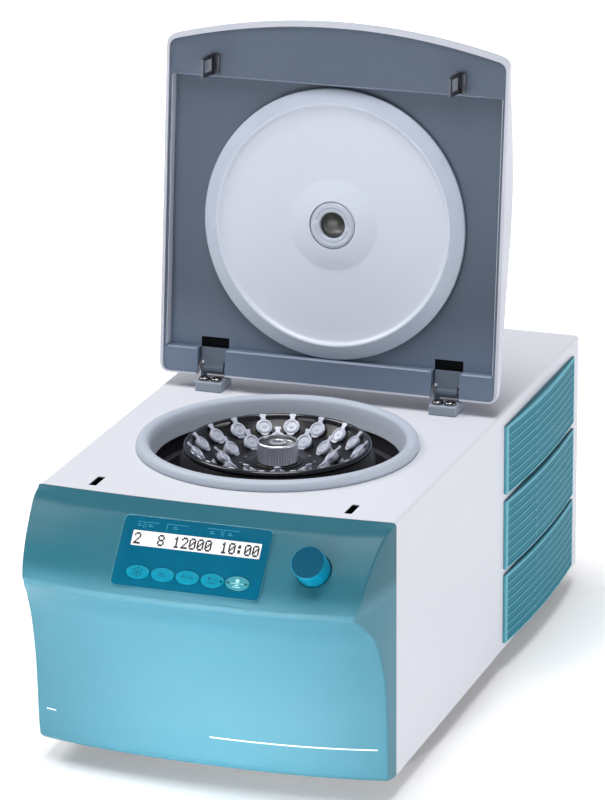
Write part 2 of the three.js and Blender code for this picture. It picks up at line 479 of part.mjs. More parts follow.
function lidSolid(inset, low, drop) {
  const base = lidOutline(inset);
  const c = -135;
  const rings = [base.map(([x, y]) => [x, y, low])];
  for (const d of inset ? [0, 2, 8, 22, 45] : [0, 1.5, 5, 12, 25, 45, 90]) {
    const q = 1 - d / 137;
    const dome = 13 * Math.sqrt(1 - (1 - Math.min(1, d / 45)) ** 2) + 2 * smooth(d / 120);
    rings.push(base.map(([x, y]) => {
      const px = x * q, py = c + (y - c) * q;
      return [px, py, -LID_RIM + table(LID_WALL, -y * (1 - d / 137) + (-c) * (d / 137), 1) + dome - drop];
    }));
  }
  return loft(rings);
}
{
  let cover = cut(lidSolid(0, -LID_RIM, 0), lidSolid(LID_T, -LID_RIM - 3, LID_T));
  cover = cut(cover, rod(14, -5, 60, 20, 0, -(HINGE_Y - BOWL_Y)));
  for (const s of [-1, 1]) cover = cut(cover, box(s * HINGE_X - 12, -7, -20, s * HINGE_X + 12, 12, 20));
  add(lid, 'lid_cover', cover, WHITE, 0.35);

  const rim = -LID_RIM, face = rim + 1.5, floor = rim + 10.5, t = 1.7;
  const crease = 235.4, beam = 16.8;
  const from = (s0, s1) => box(-HALF_W, -s1, -60, HALF_W, -s0, 60);
  const flat = (inset, z0, z1) => raised(lidOutline(inset), z0, z1);
  const pan = (rows) => loft(rows.map(([inset, h]) => lidOutline(inset).map(([x, y]) => [x, y, h])));
  // the tray's outer form: near upright sides that round into the floor
  const form = pan([[3.2, face], [3.9, rim + 4.6], [9.6, floor + t]]);
  let liner = cut(form, pan([[4.9, face - 3], [5.4, rim + 4.2], [11, floor], [11.2, floor + 0.01]])).intersect(from(beam - 0.4, crease + t));
  liner = join(
    liner,
    flat(3, face, face + t).intersect(from(crease, 400)),
    flat(3, face, face + t).intersect(from(-400, beam)),
    raisedX([[-crease - t, face], [-crease, face], [-crease, floor + t], [-crease - t, floor + t]], -HALF_W + 3, HALF_W - 3),
    raisedX([[-beam, face], [-beam + t, face], [-beam - 0.6 + t, floor + t], [-beam - 0.6, floor + t], [-beam - 0.6, face + 0.8]], -HALF_W + 3, HALF_W - 3),
  ).intersect(form);
  for (const s of [-1, 1]) {
    const x = s * HINGE_X;
    liner = cut(liner, box(x - 11.6, -25.4, -30, x + 11.6, 20, floor + t + 1));
    liner = join(liner, box(x - 13, -17.4, face, x - 11.6, -8, floor), box(x + 11.6, -17.4, face, x + 13, -8, floor));
  }
  liner = cut(liner, rod(17, -20, 30, 20, 0, -(HINGE_Y - BOWL_Y)));
  add(lid, 'lid_liner', liner, SLATE, 0.55);

  // pressure disc: outer cone band, step, shallow dish and inner cone
  const f = floor - GAP, z = (k) => -k; // k under the pivot
  const disc = [
    [DISC_R, z(4.3)], [105.8, z(5.2)], [96.5, z(8.4)], [94.6, z(8)], [92.5, z(5.8)], [60, z(4.8)], [40, z(5)], [22, z(7.8)], [19.4, z(8.1)],
    [19.4, f], [DISC_R - 1, f], [DISC_R, z(2.2)], [DISC_R, z(4.3)],
  ];
  add(lid, 'lid_disc', turned(disc, 32, 0, -(HINGE_Y - BOWL_Y)), DISC, 0.25);
  // sight tube with its pane near the lower end
  const bezel = [
    [0, z(5.6)], [PORT_R, z(5.6)], [PORT_R, z(8.7)], [17, z(8.7)], [18.6, z(7.4)], [18.6, f - 0.2], [16.6, f - 0.2], [16.6, floor + t + 1],
    [13.4, floor + t + 4], [13.4, 26.5], [PORT_R + 0.4, 26.5], [PORT_R, z(3.8)], [0, z(3.8)],
  ];
  add(lid, 'port_bezel', turned(bezel, 16, 0, -(HINGE_Y - BOWL_Y)), CLEAR, 0.1);

  for (const s of [-1, 1]) {
    const side = s < 0 ? 'left' : 'right', x = s * HOOK_X;
    const top0 = face - GAP, low0 = top0 - 27;
    let hook = raisedX([[-252.7, low0], [-237.8, low0], [-237.8, top0], [-254.3, top0], [-254.3, -25]], x - 1, x + 1);
    hook = join(hook, box(x - 5, -254.3, top0 - 1.6, x + 5, -237.8, top0));
    hook = cut(hook, box(x - 3, -251.2, low0 + 3, x + 3, -240.7, top0 - 8.5));
    add(lid, `latch_hook_${side}`, hook, 0x9a968f, 0.3, 1);

    const hx = s * HINGE_X, top = floor + t + GAP;
    let arm = rodX(4.6, hx - 8.4, hx + 8.4, 16, 0, 0);
    arm = join(arm, box(hx - 8.4, -7.5, -3.6, hx + 8.4, 0, -0.4));
    arm = join(arm, box(hx - 10.6, -17.2, -3.6, hx + 10.6, -6.6, -0.4));
    arm = join(arm, box(hx - 10.6, -17.2, -3.6, hx + 10.6, -14, top + 2.4), box(hx - 10.6, -40, top, hx + 10.6, -14, top + 2.4));
    arm = cut(arm, rodX(3.1, hx - 20, hx + 20, 12, 0, 0));
    add(lid, `hinge_arm_${side}`, arm, HINGE, 0.4, 0.3);
  }
}

// ---- refrigeration ----
{
  const c = [-58, 392];
  const pot = [[0, 12], [34, 12], [50, 24], [52, 40], [52, 96], [47, 118], [30, 130], [0, 134]];
  let compressor = turned(pot, 20, ...c);
  compressor = join(compressor, box(c[0] - 66, c[1] - 40, 6, c[0] + 66, c[1] + 40, 14));
  add(model, 'compressor', compressor, BLACK, 0.35, 0.4);
  let condenser = box(112, 290, 16, 130, 452, 184);
  for (let i = 0; i < 9; i++) condenser = cut(condenser, box(100, 296, 24 + i * 17, 126, 446, 34 + i * 17));
  add(model, 'condenser', condenser, 0x8a8d90, 0.5, 0.8);
  let shroud = box(100, 300, 28, 108, 444, 172);
  shroud = cut(shroud, rodX(64, 90, 120, 24, 372, 100));
  shroud = join(shroud, box(104, 366, 30, 107, 378, 170), rodX(14, 92, 107, 14, 372, 100));
  add(model, 'fan_shroud', shroud, DARK, 0.6);
  let fan = rodX(16, 78, 91.5, 16, 372, 100);
  for (let i = 0; i < 5; i++) {
    const g = new THREE.BoxGeometry(2.4, 26, 46);
    g.rotateZ(Math.PI / 5);
    g.translate(85, 0, 36);
    g.rotateX((2 * Math.PI * i) / 5);
    g.translate(0, 372, 100);
    fan = join(fan, toSolid(g));
  }
  add(model, 'condenser_fan', fan, 0x3c3f44, 0.6);
  // liquid line with the dryer cartridge brazed in
  let pipe = bar([[6, 238, 150], [6, 262, 152], [2, 290, 150], [10, 312, 120], [30, 320, 80], [60, 316, 40], [88, 312, 24], [109, 320, 20]], 3, 6, 20);
  pipe = join(pipe, rod(9, -23, 23, 12).rotate([27, 26, 0]).translate([20, 316, 100]));
  add(model, 'refrigerant_pipe', pipe, COPPER, 0.35, 0.9);
}

// ---- electrics ----
{
  let supply = box(-132, 264, 16, -40, 326, 76);
  for (let i = 0; i < 5; i++) supply = cut(supply, box(-126 + i * 17, 255, 60, -118 + i * 17, 335, 80));
  add(model, 'power_supply', supply, 0x9fa2a6, 0.5, 0.6);
  let board = box(-110, 262, 88, -14, 264, 178);
  board = join(board, box(-100, 263, 96, -60, 280, 118), capacitor(-40, 150), box(-98, 263, 140, -66, 274, 168));
  add(model, 'control_board', board, GREEN, 0.5);
  // mains inlet with the frame of its rocker
  let inlet = join(box(-124, 482.3, 19, -66, 484.8, 55), box(-120.6, 452, 22.4, -69.4, 483, 51.6));
  inlet = cut(inlet, box(-117.5, 466, 26.5, -91.5, 490, 47.5), box(-87, 460, 25.5, -72, 490, 48.5));
  inlet = join(inlet, box(-112, 464, 36, -110, 480, 38), box(-105.5, 464, 32, -103.5, 480, 34), box(-99, 464, 36, -97, 480, 38));
  add(model, 'power_inlet', inlet, BLACK, 0.5);
  const rocker = raisedX([[468, 30], [483.6, 26.6], [484.6, 37], [487.4, 47.2], [468, 44]], -86.4, -72.6);
  add(model, 'power_rocker', rocker, 0x111114, 0.4);
}
// round can standing out from the board
function capacitor(x, z) {
  const g = new THREE.CylinderGeometry(9, 9, 20, 12);
  g.translate(x, 273, z);
  return toSolid(g);
}

export default model;
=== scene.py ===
"""Looks of a refrigerated microcentrifuge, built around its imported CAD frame."""
import math

import bmesh
import bpy
import numpy as np
from mathutils import Matrix, Vector


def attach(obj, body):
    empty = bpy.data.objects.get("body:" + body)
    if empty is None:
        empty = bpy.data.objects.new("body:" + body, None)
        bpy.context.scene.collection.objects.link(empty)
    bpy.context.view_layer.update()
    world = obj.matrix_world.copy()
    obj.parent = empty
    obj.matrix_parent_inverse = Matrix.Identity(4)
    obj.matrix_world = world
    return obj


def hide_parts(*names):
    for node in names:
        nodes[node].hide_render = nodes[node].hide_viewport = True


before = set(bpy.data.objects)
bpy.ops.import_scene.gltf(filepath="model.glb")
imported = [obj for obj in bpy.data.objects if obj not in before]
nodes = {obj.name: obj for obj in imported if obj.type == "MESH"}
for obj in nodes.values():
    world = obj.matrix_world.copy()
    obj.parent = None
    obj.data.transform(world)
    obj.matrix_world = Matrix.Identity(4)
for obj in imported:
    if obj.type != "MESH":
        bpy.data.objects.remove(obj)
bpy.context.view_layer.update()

# ---------------------------------------------------------------- layout, in millimetres
# y = 0 at the housing's front edge, z = 0 at its lower edge, as the part is drawn
ORIGIN_Y, FOOT_H = 206.4, 18.0
HALF_W, CASE_D, CASE_H = 140.5, 482.0, 200.0
BOWL_Y = 135.5
HINGE = (0.0, 260.8, 214.8)
HINGE_X = 97.5
HOOK_X = 100.9
LID_OPEN = 95.9
LID_RIM = 11.0
LID_REAR, LID_CORNER, LID_FRONT = -4.0, 266.5, 285.7
LID_T = 2.6
DISC_C = (0.0, -(HINGE[1] - BOWL_Y))
PANEL = (0.0, -51.9, 174.3)
KEY_X = [-38.4, -19, 0.4, 19.8, 39.2]
KEY_SLOPE = -16.2
KNOB = (93.4, -49.8, 174.5)
VENT_Y = (271.0, 464.5)
VENT_Z = [(5.5, 63.0), (68.0, 125.0), (131.0, 187.5)]
ROTOR_ANGLE = -0.56

TO_WORLD = Matrix.Scale(0.001, 4) @ Matrix.Translation((0, -ORIGIN_Y, FOOT_H))
LID = TO_WORLD @ Matrix.Translation(HINGE) @ Matrix.Rotation(math.radians(-LID_OPEN), 4, "X")
TILT = Matrix.Rotation(math.radians(50), 4, "X")
ON_PANEL = TO_WORLD @ Matrix.Translation(PANEL) @ TILT
ON_KNOB = TO_WORLD @ Matrix.Translation(KNOB) @ TILT
tau = 2 * math.pi


# ---------------------------------------------------------------- camera, light, floor
def camera():
    a, e, r = 0.339334, 0.315336, -0.00635
    right = Vector((math.cos(a), math.sin(a), 0))
    fwd = Vector((-math.sin(a) * math.cos(e), math.cos(a) * math.cos(e), -math.sin(e)))
    up = right.cross(fwd)
    c, s = math.cos(r), math.sin(r)
    x, y, z = c * right + s * up, c * up - s * right, -fwd
    cam = bpy.data.objects.new("camera", bpy.data.cameras.new("camera"))
    bpy.context.scene.collection.objects.link(cam)
    cam.matrix_world = Matrix(((x[0], y[0], z[0], 1.08877), (x[1], y[1], z[1], -3.09729), (x[2], y[2], z[2], 1.30405), (0, 0, 0, 1)))
    cam.data.lens = 4428.33 / 800 * 36
    cam.data.sensor_width = 36
    cam.data.clip_start, cam.data.clip_end = 0.1, 60
    bpy.context.scene.camera = cam


def area(name, at, to, size, power, colour=(1, 1, 1), size_y=None, spread=180):
    light = bpy.data.lights.new(name, "AREA")
    light.spread = math.radians(spread)
    light.energy, light.color, light.size = power, colour, size
    if size_y:
        light.shape, light.size_y = "RECTANGLE", size_y
    o = bpy.data.objects.new(name, light)
    bpy.context.scene.collection.objects.link(o)
    o.location = at
    o.rotation_mode = "QUATERNION"
    o.rotation_quaternion = (Vector(to) - Vector(at)).to_track_quat("-Z", "Y")
    return o


def pool(name, at, to, power, degrees, radius):
    """A round patch of light with a soft edge."""
    light = bpy.data.lights.new(name, "SPOT")
    light.energy, light.spot_size, light.spot_blend, light.shadow_soft_size = power, math.radians(degrees), 1.0, radius
    o = bpy.data.objects.new(name, light)
    bpy.context.scene.collection.objects.link(o)
    o.location = at
    o.rotation_mode = "QUATERNION"
    o.rotation_quaternion = (Vector(to) - Vector(at)).to_track_quat("-Z", "Y")
    return o


def studio():
    world = bpy.data.worlds.new("studio")
    bpy.context.scene.world = world
    world.use_nodes = True
    back = world.node_tree.nodes["Background"]
    back.inputs["Color"].default_value = (0.93, 0.95, 1.0, 1)
    back.inputs["Strength"].default_value = 0.28
    area("key_left", (-1.9, -0.1, 2.1), (0, 0, 0.2), 1.2, 33, (1, 0.995, 0.98))
    area("top_soft", (0.1, -0.5, 2.65), (0, 0, 0.2), 1.4, 53)
    area("side_low", (2.5, 0.1, 0.26), (0.1, 0, 0.08), 1.3, 23, (0.98, 0.98, 1), 0.4)
    area("front_wide", (-0.85, -2.6, 0.35), (0, 0, 0.08), 1.1, 7, (0.98, 0.99, 1), 0.6)
    area("near_floor", (-0.08, -0.76, 1.5), (-0.08, -0.76, 0), 0.3, 7, (1, 1, 1), None, 32)
    area("far_floor", (-0.6, 2.9, 2.6), (-0.6, 2.9, 0), 3.2, 60, (1, 1, 1), 2.0, 70)
    pool("front_pool", (-0.3, -2.6, 0.22), (0.014, -0.28, -0.03), 420, 10.5, 0.1)
    me = bpy.data.meshes.new("floor")
    me.from_pydata([(-30, -30, 0), (30, -30, 0), (30, 30, 0), (-30, 30, 0)], [], [(0, 1, 2, 3)])
    floor = bpy.data.objects.new("floor", me)
    bpy.context.scene.collection.objects.link(floor)
    m = bpy.data.materials.new("floor")
    m.use_nodes = True
    b = m.node_tree.nodes["Principled BSDF"]
    b.inputs["Base Color"].default_value = (0.93, 0.93, 0.93, 1)
    b.inputs["Roughness"].default_value = 0.9
    b.inputs["Specular IOR Level"].default_value = 0.1
    b.inputs["Emission Color"].default_value = (1, 1, 1, 1)
    b.inputs["Emission Strength"].default_value = 0.15
    me.materials.append(m)
    view = bpy.context.scene.view_settings
    view.view_transform = "Standard"
    view.look = "None"
    view.exposure, view.gamma = 0.0, 1.0


camera()
studio()

# ---------------------------------------------------------------- materials


def srgb(r, g, b):
    f = lambda c: (c / 255 / 12.92) if c / 255 <= 0.04045 else ((c / 255 + 0.055) / 1.055) ** 2.4
    return (f(r), f(g), f(b), 1)


def material(name, colour, rough=0.45, metal=0.0, vary=0.05, vary_scale=14, rough_vary=0.06, grain=0.0, grain_scale=900,
             stretch=(1, 1, 1), coat=0.0, sheen=0.0, trans=0.0, ior=1.46, spec=0.5, glow=0.0, subsurface=0.0, second=None, aniso=0.0, painted_light_by_height=None):
    """One moulded, painted or turned finish: a slow change of shade, a change of roughness, and a fine grain in the
    surface; where asked, also painted light and shade that changes with height.
    """
    m = bpy.data.materials.new(name)
    m.use_nodes = True
    nt = m.node_tree
    n, link = nt.nodes, nt.links
    b = n["Principled BSDF"]
    b.inputs["Metallic"].default_value = metal
    b.inputs["IOR"].default_value = ior
    b.inputs["Specular IOR Level"].default_value = spec
    b.inputs["Coat Weight"].default_value = coat
    b.inputs["Coat Roughness"].default_value = 0.12
    b.inputs["Sheen Weight"].default_value = sheen
    b.inputs["Transmission Weight"].default_value = trans
    b.inputs["Anisotropic"].default_value = aniso
    if subsurface:
        b.inputs["Subsurface Weight"].default_value = subsurface
        b.inputs["Subsurface Radius"].default_value = (0.004, 0.004, 0.005)
        b.inputs["Subsurface Scale"].default_value = 1.0
    if glow:
        b.inputs["Emission Color"].default_value = colour
        b.inputs["Emission Strength"].default_value = glow
    coord = n.new("ShaderNodeTexCoord")
    place = n.new("ShaderNodeMapping")
    place.inputs["Scale"].default_value = stretch
    link.new(coord.outputs["Object"], place.inputs["Vector"])
    slow = n.new("ShaderNodeTexNoise")
    slow.inputs["Scale"].default_value = vary_scale
    slow.inputs["Detail"].default_value = 5
    link.new(place.outputs["Vector"], slow.inputs["Vector"])
    mix = n.new("ShaderNodeMix")
    mix.data_type = "RGBA"
    dark = second or tuple(c * (1 - vary) for c in colour[:3]) + (1,)
    mix.inputs[6].default_value = dark
    mix.inputs[7].default_value = tuple(min(1, c * (1 + vary)) for c in colour[:3]) + (1,) if not second else colour
    link.new(slow.outputs["Fac"], mix.inputs[0])
    shade = mix.outputs[2]
    if painted_light_by_height:
        # painted light and shade: between two heights the colour goes over to itself multiplied by another one,
        # standing in for light that falls differently above and below
        z0, z1, painted_light_factor = painted_light_by_height
        split = n.new("ShaderNodeSeparateXYZ")
        link.new(coord.outputs["Object"], split.inputs[0])
        up = n.new("ShaderNodeMapRange")
        up.interpolation_type = "SMOOTHSTEP"
        up.inputs["From Min"].default_value, up.inputs["From Max"].default_value = z0, z1
        link.new(split.outputs["Z"], up.inputs["Value"])
        tint = n.new("ShaderNodeMix")
        tint.data_type, tint.blend_type = "RGBA", "MULTIPLY"
        tint.inputs[7].default_value = painted_light_factor
        link.new(up.outputs["Result"], tint.inputs[0])
        link.new(shade, tint.inputs[6])
        shade = tint.outputs[2]
    link.new(shade, b.inputs["Base Color"])
    rng = n.new("ShaderNodeMapRange")
    rng.inputs["To Min"].default_value = max(0.02, rough - rough_vary)
    rng.inputs["To Max"].default_value = min(1, rough + rough_vary)
    worn = n.new("ShaderNodeTexNoise")
    worn.inputs["Scale"].default_value = vary_scale * 3.1
    worn.inputs["Detail"].default_value = 6
    link.new(place.outputs["Vector"], worn.inputs["Vector"])
    link.new(worn.outputs["Fac"], rng.inputs["Value"])
    link.new(rng.outputs["Result"], b.inputs["Roughness"])
    if grain:
        fine = n.new("ShaderNodeTexNoise")
        fine.inputs["Scale"].default_value = grain_scale
        fine.inputs["Detail"].default_value = 2
        link.new(place.outputs["Vector"], fine.inputs["Vector"])
        bump = n.new("ShaderNodeBump")
        bump.inputs["Strength"].default_value = grain
        bump.inputs["Distance"].default_value = 0.0002
        link.new(fine.outputs["Fac"], bump.inputs["Height"])
        link.new(bump.outputs["Normal"], b.inputs["Normal"])
    return m


M = {
    "white": material("case_paint", srgb(204, 206, 213), 0.42, vary=0.012, vary_scale=6, grain=0.10, grain_scale=1400),
    "lid_white": material("lid_white", srgb(184, 187, 198), 0.32, vary=0.012, vary_scale=7, grain=0.05, grain_scale=900, coat=0.1),
    # shell_teal: above the ridge the console is multiplied by about 0.2 to 0.6, a painted shade
    "teal": material("shell_teal", srgb(65, 121, 138), 0.45, vary=0.03, vary_scale=9, grain=0.3, grain_scale=1500, rough_vary=0.04, spec=0.36, painted_light_by_height=(0.164, 0.179, (0.22, 0.57, 0.59, 1))),
    "teal_lip": material("teal_lip", srgb(62, 128, 146), 0.35, vary=0.03, vary_scale=20, grain=0.1, grain_scale=1500),
    "panel": material("panel_deep_teal", srgb(0, 82, 108), 0.4, vary=0.03, vary_scale=25, grain=0.05, grain_scale=2500, spec=0.06),
    "print": material("panel_print", srgb(60, 142, 164), 0.5, vary=0.03, spec=0.2),
    "lcd": material("lcd_white", srgb(230, 228, 227), 0.3, vary=0.02, vary_scale=40, glow=0.12),
    "lcd_ink": material("lcd_ink", srgb(34, 32, 36), 0.6, vary=0.1, vary_scale=400),
    "key": material("key_teal", srgb(4, 122, 146), 0.38, vary=0.03, vary_scale=60, grain=0.05, spec=0.12),
    "key_green": material("key_green", srgb(50, 128, 140), 0.38, vary=0.03, vary_scale=60, grain=0.05, spec=0.25),
    "key_ink": material("key_ink", srgb(4, 80, 104), 0.5, vary=0.05, spec=0.2),
    "key_light": material("key_light_ink", srgb(176, 222, 224), 0.5, vary=0.05),
    "dot": material("key_lamp", srgb(10, 34, 46), 0.15, vary=0.1),
    "knob_side": material("knob_side", srgb(0, 116, 146), 0.3, vary=0.03, vary_scale=50, grain=0.08, spec=0.3),
    "knob_face": material("knob_face", srgb(8, 70, 94), 0.42, vary=0.05, vary_scale=40, grain=0.12, grain_scale=2200, spec=0.08),
    # painted shade: black for recesses, slots and holes where only shade falls
    "gap": material("shadow_black", srgb(5, 6, 8), 0.8, vary=0.1, spec=0.1),
    "stripe": material("stripe_white", srgb(232, 242, 246), 0.5, vary=0.02),
    "vent": material("vent_teal", srgb(30, 114, 132), 0.55, vary=0.14, vary_scale=620, grain=0.6, grain_scale=620, spec=0.2),
    "vent_edge": material("vent_edge", srgb(88, 164, 180), 0.42, vary=0.05, vary_scale=60, grain=0.1, spec=0.35),
    "vent_painted_shade": material("vent_top_painted_shade", srgb(52, 96, 108), 0.5, vary=0.06, vary_scale=30, grain=0.1, spec=0.2),
    # liner_slate: lower down the open lid, from 0.305 m to 0.228 m, the colour goes over to 1.8 times lighter, a
    # painted light on the lower inner lid
    "slate": material("liner_slate", srgb(75, 87, 104), 0.5, vary=0.03, vary_scale=10, grain=0.28, grain_scale=1300, painted_light_by_height=(0.305, 0.228, (1.8, 1.8, 1.78, 1))),
    "slate_light": material("liner_edge_painted_highlight", srgb(116, 127, 146), 0.45, vary=0.03, vary_scale=20, grain=0.15, grain_scale=1300),
    "disc": material("disc_pale", srgb(200, 206, 219), 0.34, vary=0.012, vary_scale=8, rough_vary=0.04, spec=0.4),
    "disc_band": material("disc_band", srgb(176, 185, 200), 0.26, vary=0.02, vary_scale=8, rough_vary=0.05, spec=0.5, coat=0.2),
    "port": material("port_clear", srgb(186, 193, 208), 0.2, vary=0.02, vary_scale=40, trans=0.15, coat=0.4),
    "port_glass": material("port_glass", srgb(52, 54, 50), 0.22, vary=0.35, vary_scale=70, coat=0.2),
    "rubber": material("seal_rubber", srgb(166, 174, 187), 0.5, vary=0.03, vary_scale=24, grain=0.25, grain_scale=900, sheen=0.1),
    "black_rubber": material("foot_rubber", srgb(36, 36, 40), 0.75, vary=0.12, vary_scale=60, grain=0.4, grain_scale=1200),
    "bowl": material("bowl_dark", srgb(50, 47, 54), 0.46, metal=0.35, vary=0.2, vary_scale=18, grain=0.08, grain_scale=700, stretch=(1, 1, 3)),
    "rotor": material("rotor_black", srgb(20, 18, 20), 0.3, metal=0.4, vary=0.35, vary_scale=30, rough_vary=0.1, grain=0.06, grain_scale=1400),
    "rotor_rim": material("rotor_rim", srgb(12, 13, 22), 0.2, metal=0.2, vary=0.2, vary_scale=40, coat=0.5),
    "nut": material("nut_steel", srgb(236, 237, 243), 0.32, metal=1.0, vary=0.1, vary_scale=160, rough_vary=0.08, stretch=(1, 1, 0.12), aniso=0.4),
    "nut_dark": material("nut_recess_painted_shade", srgb(146, 145, 150), 0.36, metal=1.0, vary=0.2, vary_scale=120),
    "chrome": material("screw_chrome", srgb(112, 110, 112), 0.1, metal=1.0, vary=0.06, vary_scale=200, rough_vary=0.03),
    "steel": material("brushed_steel", srgb(140, 138, 136), 0.34, metal=1.0, vary=0.12, vary_scale=220, stretch=(1, 1, 0.08), rough_vary=0.1, grain=0.1),
    "hook": material("hook_steel", srgb(96, 98, 104), 0.36, metal=1.0, vary=0.12, vary_scale=220, stretch=(1, 1, 0.08), rough_vary=0.1, grain=0.1),
    "plate": material("zinc_plate", srgb(160, 160, 162), 0.4, metal=1.0, vary=0.15, vary_scale=50, grain=0.1),
    "hinge": material("hinge_slate", srgb(88, 99, 114), 0.45, vary=0.03, vary_scale=40, grain=0.25, grain_scale=1500),
    "bracket": material("bracket_grey", srgb(138, 147, 160), 0.45, vary=0.03, vary_scale=40, grain=0.25, grain_scale=1500),
    "tube": material("tube_clear", srgb(216, 221, 236), 0.2, vary=0.08, vary_scale=260, trans=0.42, rough_vary=0.08),
    "ink_light": material("rotor_digits", srgb(150, 150, 156), 0.5, vary=0.05),
    "foam": material("foam_dark", srgb(58, 58, 62), 0.95, vary=0.15, vary_scale=120, grain=0.8, grain_scale=500),
    "iron": material("iron_paint", srgb(70, 73, 78), 0.45, metal=0.4, vary=0.1, vary_scale=40, grain=0.3, grain_scale=700),
    "copper": material("copper_tube", srgb(184, 118, 74), 0.3, metal=1.0, vary=0.2, vary_scale=60, grain=0.05),
    "fins": material("fin_aluminium", srgb(170, 172, 176), 0.35, metal=1.0, vary=0.1, vary_scale=160, stretch=(1, 1, 0.2)),
    "board": material("circuit_board", srgb(40, 104, 66), 0.4, vary=0.25, vary_scale=260, grain=0.2, grain_scale=900),
    "black": material("black_moulding", srgb(30, 30, 33), 0.42, vary=0.1, vary_scale=60, grain=0.3, grain_scale=1300),
}


# ---------------------------------------------------------------- meshes
def piece(name, verts, faces, mat, body="case", place=TO_WORLD, angle=32, replaces=(), slot=None, smooth=True, tool=False):
    me = bpy.data.meshes.new(name)
    me.from_pydata([place @ Vector(v) for v in verts], [], faces)
    bm = bmesh.new()
    bm.from_mesh(me)
    bmesh.ops.remove_doubles(bm, verts=bm.verts, dist=1e-7)
    bmesh.ops.recalc_face_normals(bm, faces=bm.faces)
    bm.to_mesh(me)
    bm.free()
    for m in mat if isinstance(mat, (list, tuple)) else [mat]:
        me.materials.append(M[m])
    o = bpy.data.objects.new(name, me)
    bpy.context.scene.collection.objects.link(o)
    if smooth:
        me.shade_smooth()
        me.set_sharp_from_angle(angle=math.radians(angle))
    if tool:
        return o
    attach(o, body)
    if replaces:
        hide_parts(*replaces)
    return o


def applied(o, angle=32):
    """Bakes the modifiers into the mesh."""
    dg = bpy.context.evaluated_depsgraph_get()
    dg.update()
    me = bpy.data.meshes.new_from_object(o.evaluated_get(dg))
    o.modifiers.clear()
    old = o.data
    o.data = me
    bpy.data.meshes.remove(old)
    me.shade_smooth()
    me.set_sharp_from_angle(angle=math.radians(angle))
    return o


def carve(o, tools, how="DIFFERENCE", angle=32):
    for t in tools:
        m = o.modifiers.new("cut", "BOOLEAN")
        m.operation, m.solver, m.object = how, "EXACT", t
    applied(o, angle)
    for t in tools:
        me = t.data
        bpy.data.objects.remove(t)
        bpy.data.meshes.remove(me)
    return o


def soften(o, width=0.0004, segments=2, angle=38, weld=False):
    if weld:
        w = o.modifiers.new("weld", "WELD")
        w.merge_threshold = 2e-6
    b = o.modifiers.new("edge", "BEVEL")
    b.width, b.segments, b.limit_method, b.angle_limit = width, segments, "ANGLE", math.radians(angle)
    b.harden_normals = False
    b.use_clamp_overlap = True
    return o


def tube_of(rings, closed=True, caps=True):
    """Verts and faces of a skin through rings that have the same number of points."""
    n = len(rings[0])
    verts = [p for r in rings for p in r]
    faces = []
    for k in range(len(rings) - 1):
        for i in range(n if closed else n - 1):
            j = (i + 1) % n
            faces.append((k * n + i, k * n + j, (k + 1) * n + j, (k + 1) * n + i))
    if caps:
        faces.append(tuple(range(n))[::-1])
        faces.append(tuple(range((len(rings) - 1) * n, len(rings) * n)))
    return verts, faces


def lathe(profile, n=96, x=0.0, y=0.0):
    """Turned skin about an upright line; a profile whose ends lie on the line is closed there."""
    verts, faces, rows = [], [], []
    for r, z in profile:
        if r < 1e-6:
            rows.append([len(verts)])
            verts.append((x, y, z))
        else:
            rows.append(list(range(len(verts), len(verts) + n)))
            verts += [(x + r * math.cos(tau * i / n), y + r * math.sin(tau * i / n), z) for i in range(n)]
    pairs = list(zip(rows, rows[1:]))
    if profile[0][0] > 1e-6 and profile[-1][0] > 1e-6:
        pairs.append((rows[-1], rows[0]))
    for a, b in pairs:
        if len(a) == 1 and len(b) == 1:
            continue
        for i in range(n):
            j = (i + 1) % n
            if len(a) == 1:
                faces.append((a[0], b[j], b[i]))
            elif len(b) == 1:
                faces.append((a[i], a[j], b[0]))
            else:
                faces.append((a[i], a[j], b[j], b[i]))
    return verts, faces


def block(x0, y0, z0, x1, y1, z1):
    v = [(x, y, z) for z in (z0, z1) for y in (y0, y1) for x in (x0, x1)]
    return v, [(0, 2, 3, 1), (4, 5, 7, 6), (0, 1, 5, 4), (2, 6, 7, 3), (0, 4, 6, 2), (1, 3, 7, 5)]


def prism(outline, z0, z1):
    return tube_of([[(x, y, z0) for x, y in outline], [(x, y, z1) for x, y in outline]])


def prism_x(outline, x0, x1):
    return tube_of([[(x0, y, z) for y, z in outline], [(x1, y, z) for y, z in outline]])


def cylinder_x(r, x0, x1, y, z, n=40):
    pts = [(y + r * math.cos(tau * i / n), z + r * math.sin(tau * i / n)) for i in range(n)]
    return prism_x(pts, x0, x1)


def rounded(w, l, r, steps=8, cx=0.0, cy=0.0):
    pts = []
    for sx, sy, a0 in ((1, 1, 0), (-1, 1, 90), (-1, -1, 180), (1, -1, 270)):
        for i in range(steps + 1):
            a = math.radians(a0 + 90 * i / steps)
            pts.append((cx + sx * (w / 2 - r) + r * math.cos(a), cy + sy * (l / 2 - r) + r * math.sin(a)))
    return pts


def oval(w, l, n=48, cx=0.0, cy=0.0):
    return [(cx + w / 2 * math.cos(tau * i / n), cy + l / 2 * math.sin(tau * i / n)) for i in range(n)]


def many(parts):
    """Joins several (verts, faces) lists into one."""
    verts, faces = [], []
    for v, f in parts:
        k = len(verts)
        verts += list(v)
        faces += [tuple(i + k for i in q) for q in f]
    return verts, faces


def moved(vf, m):
    return [tuple(m @ Vector(v)) for v in vf[0]], vf[1]


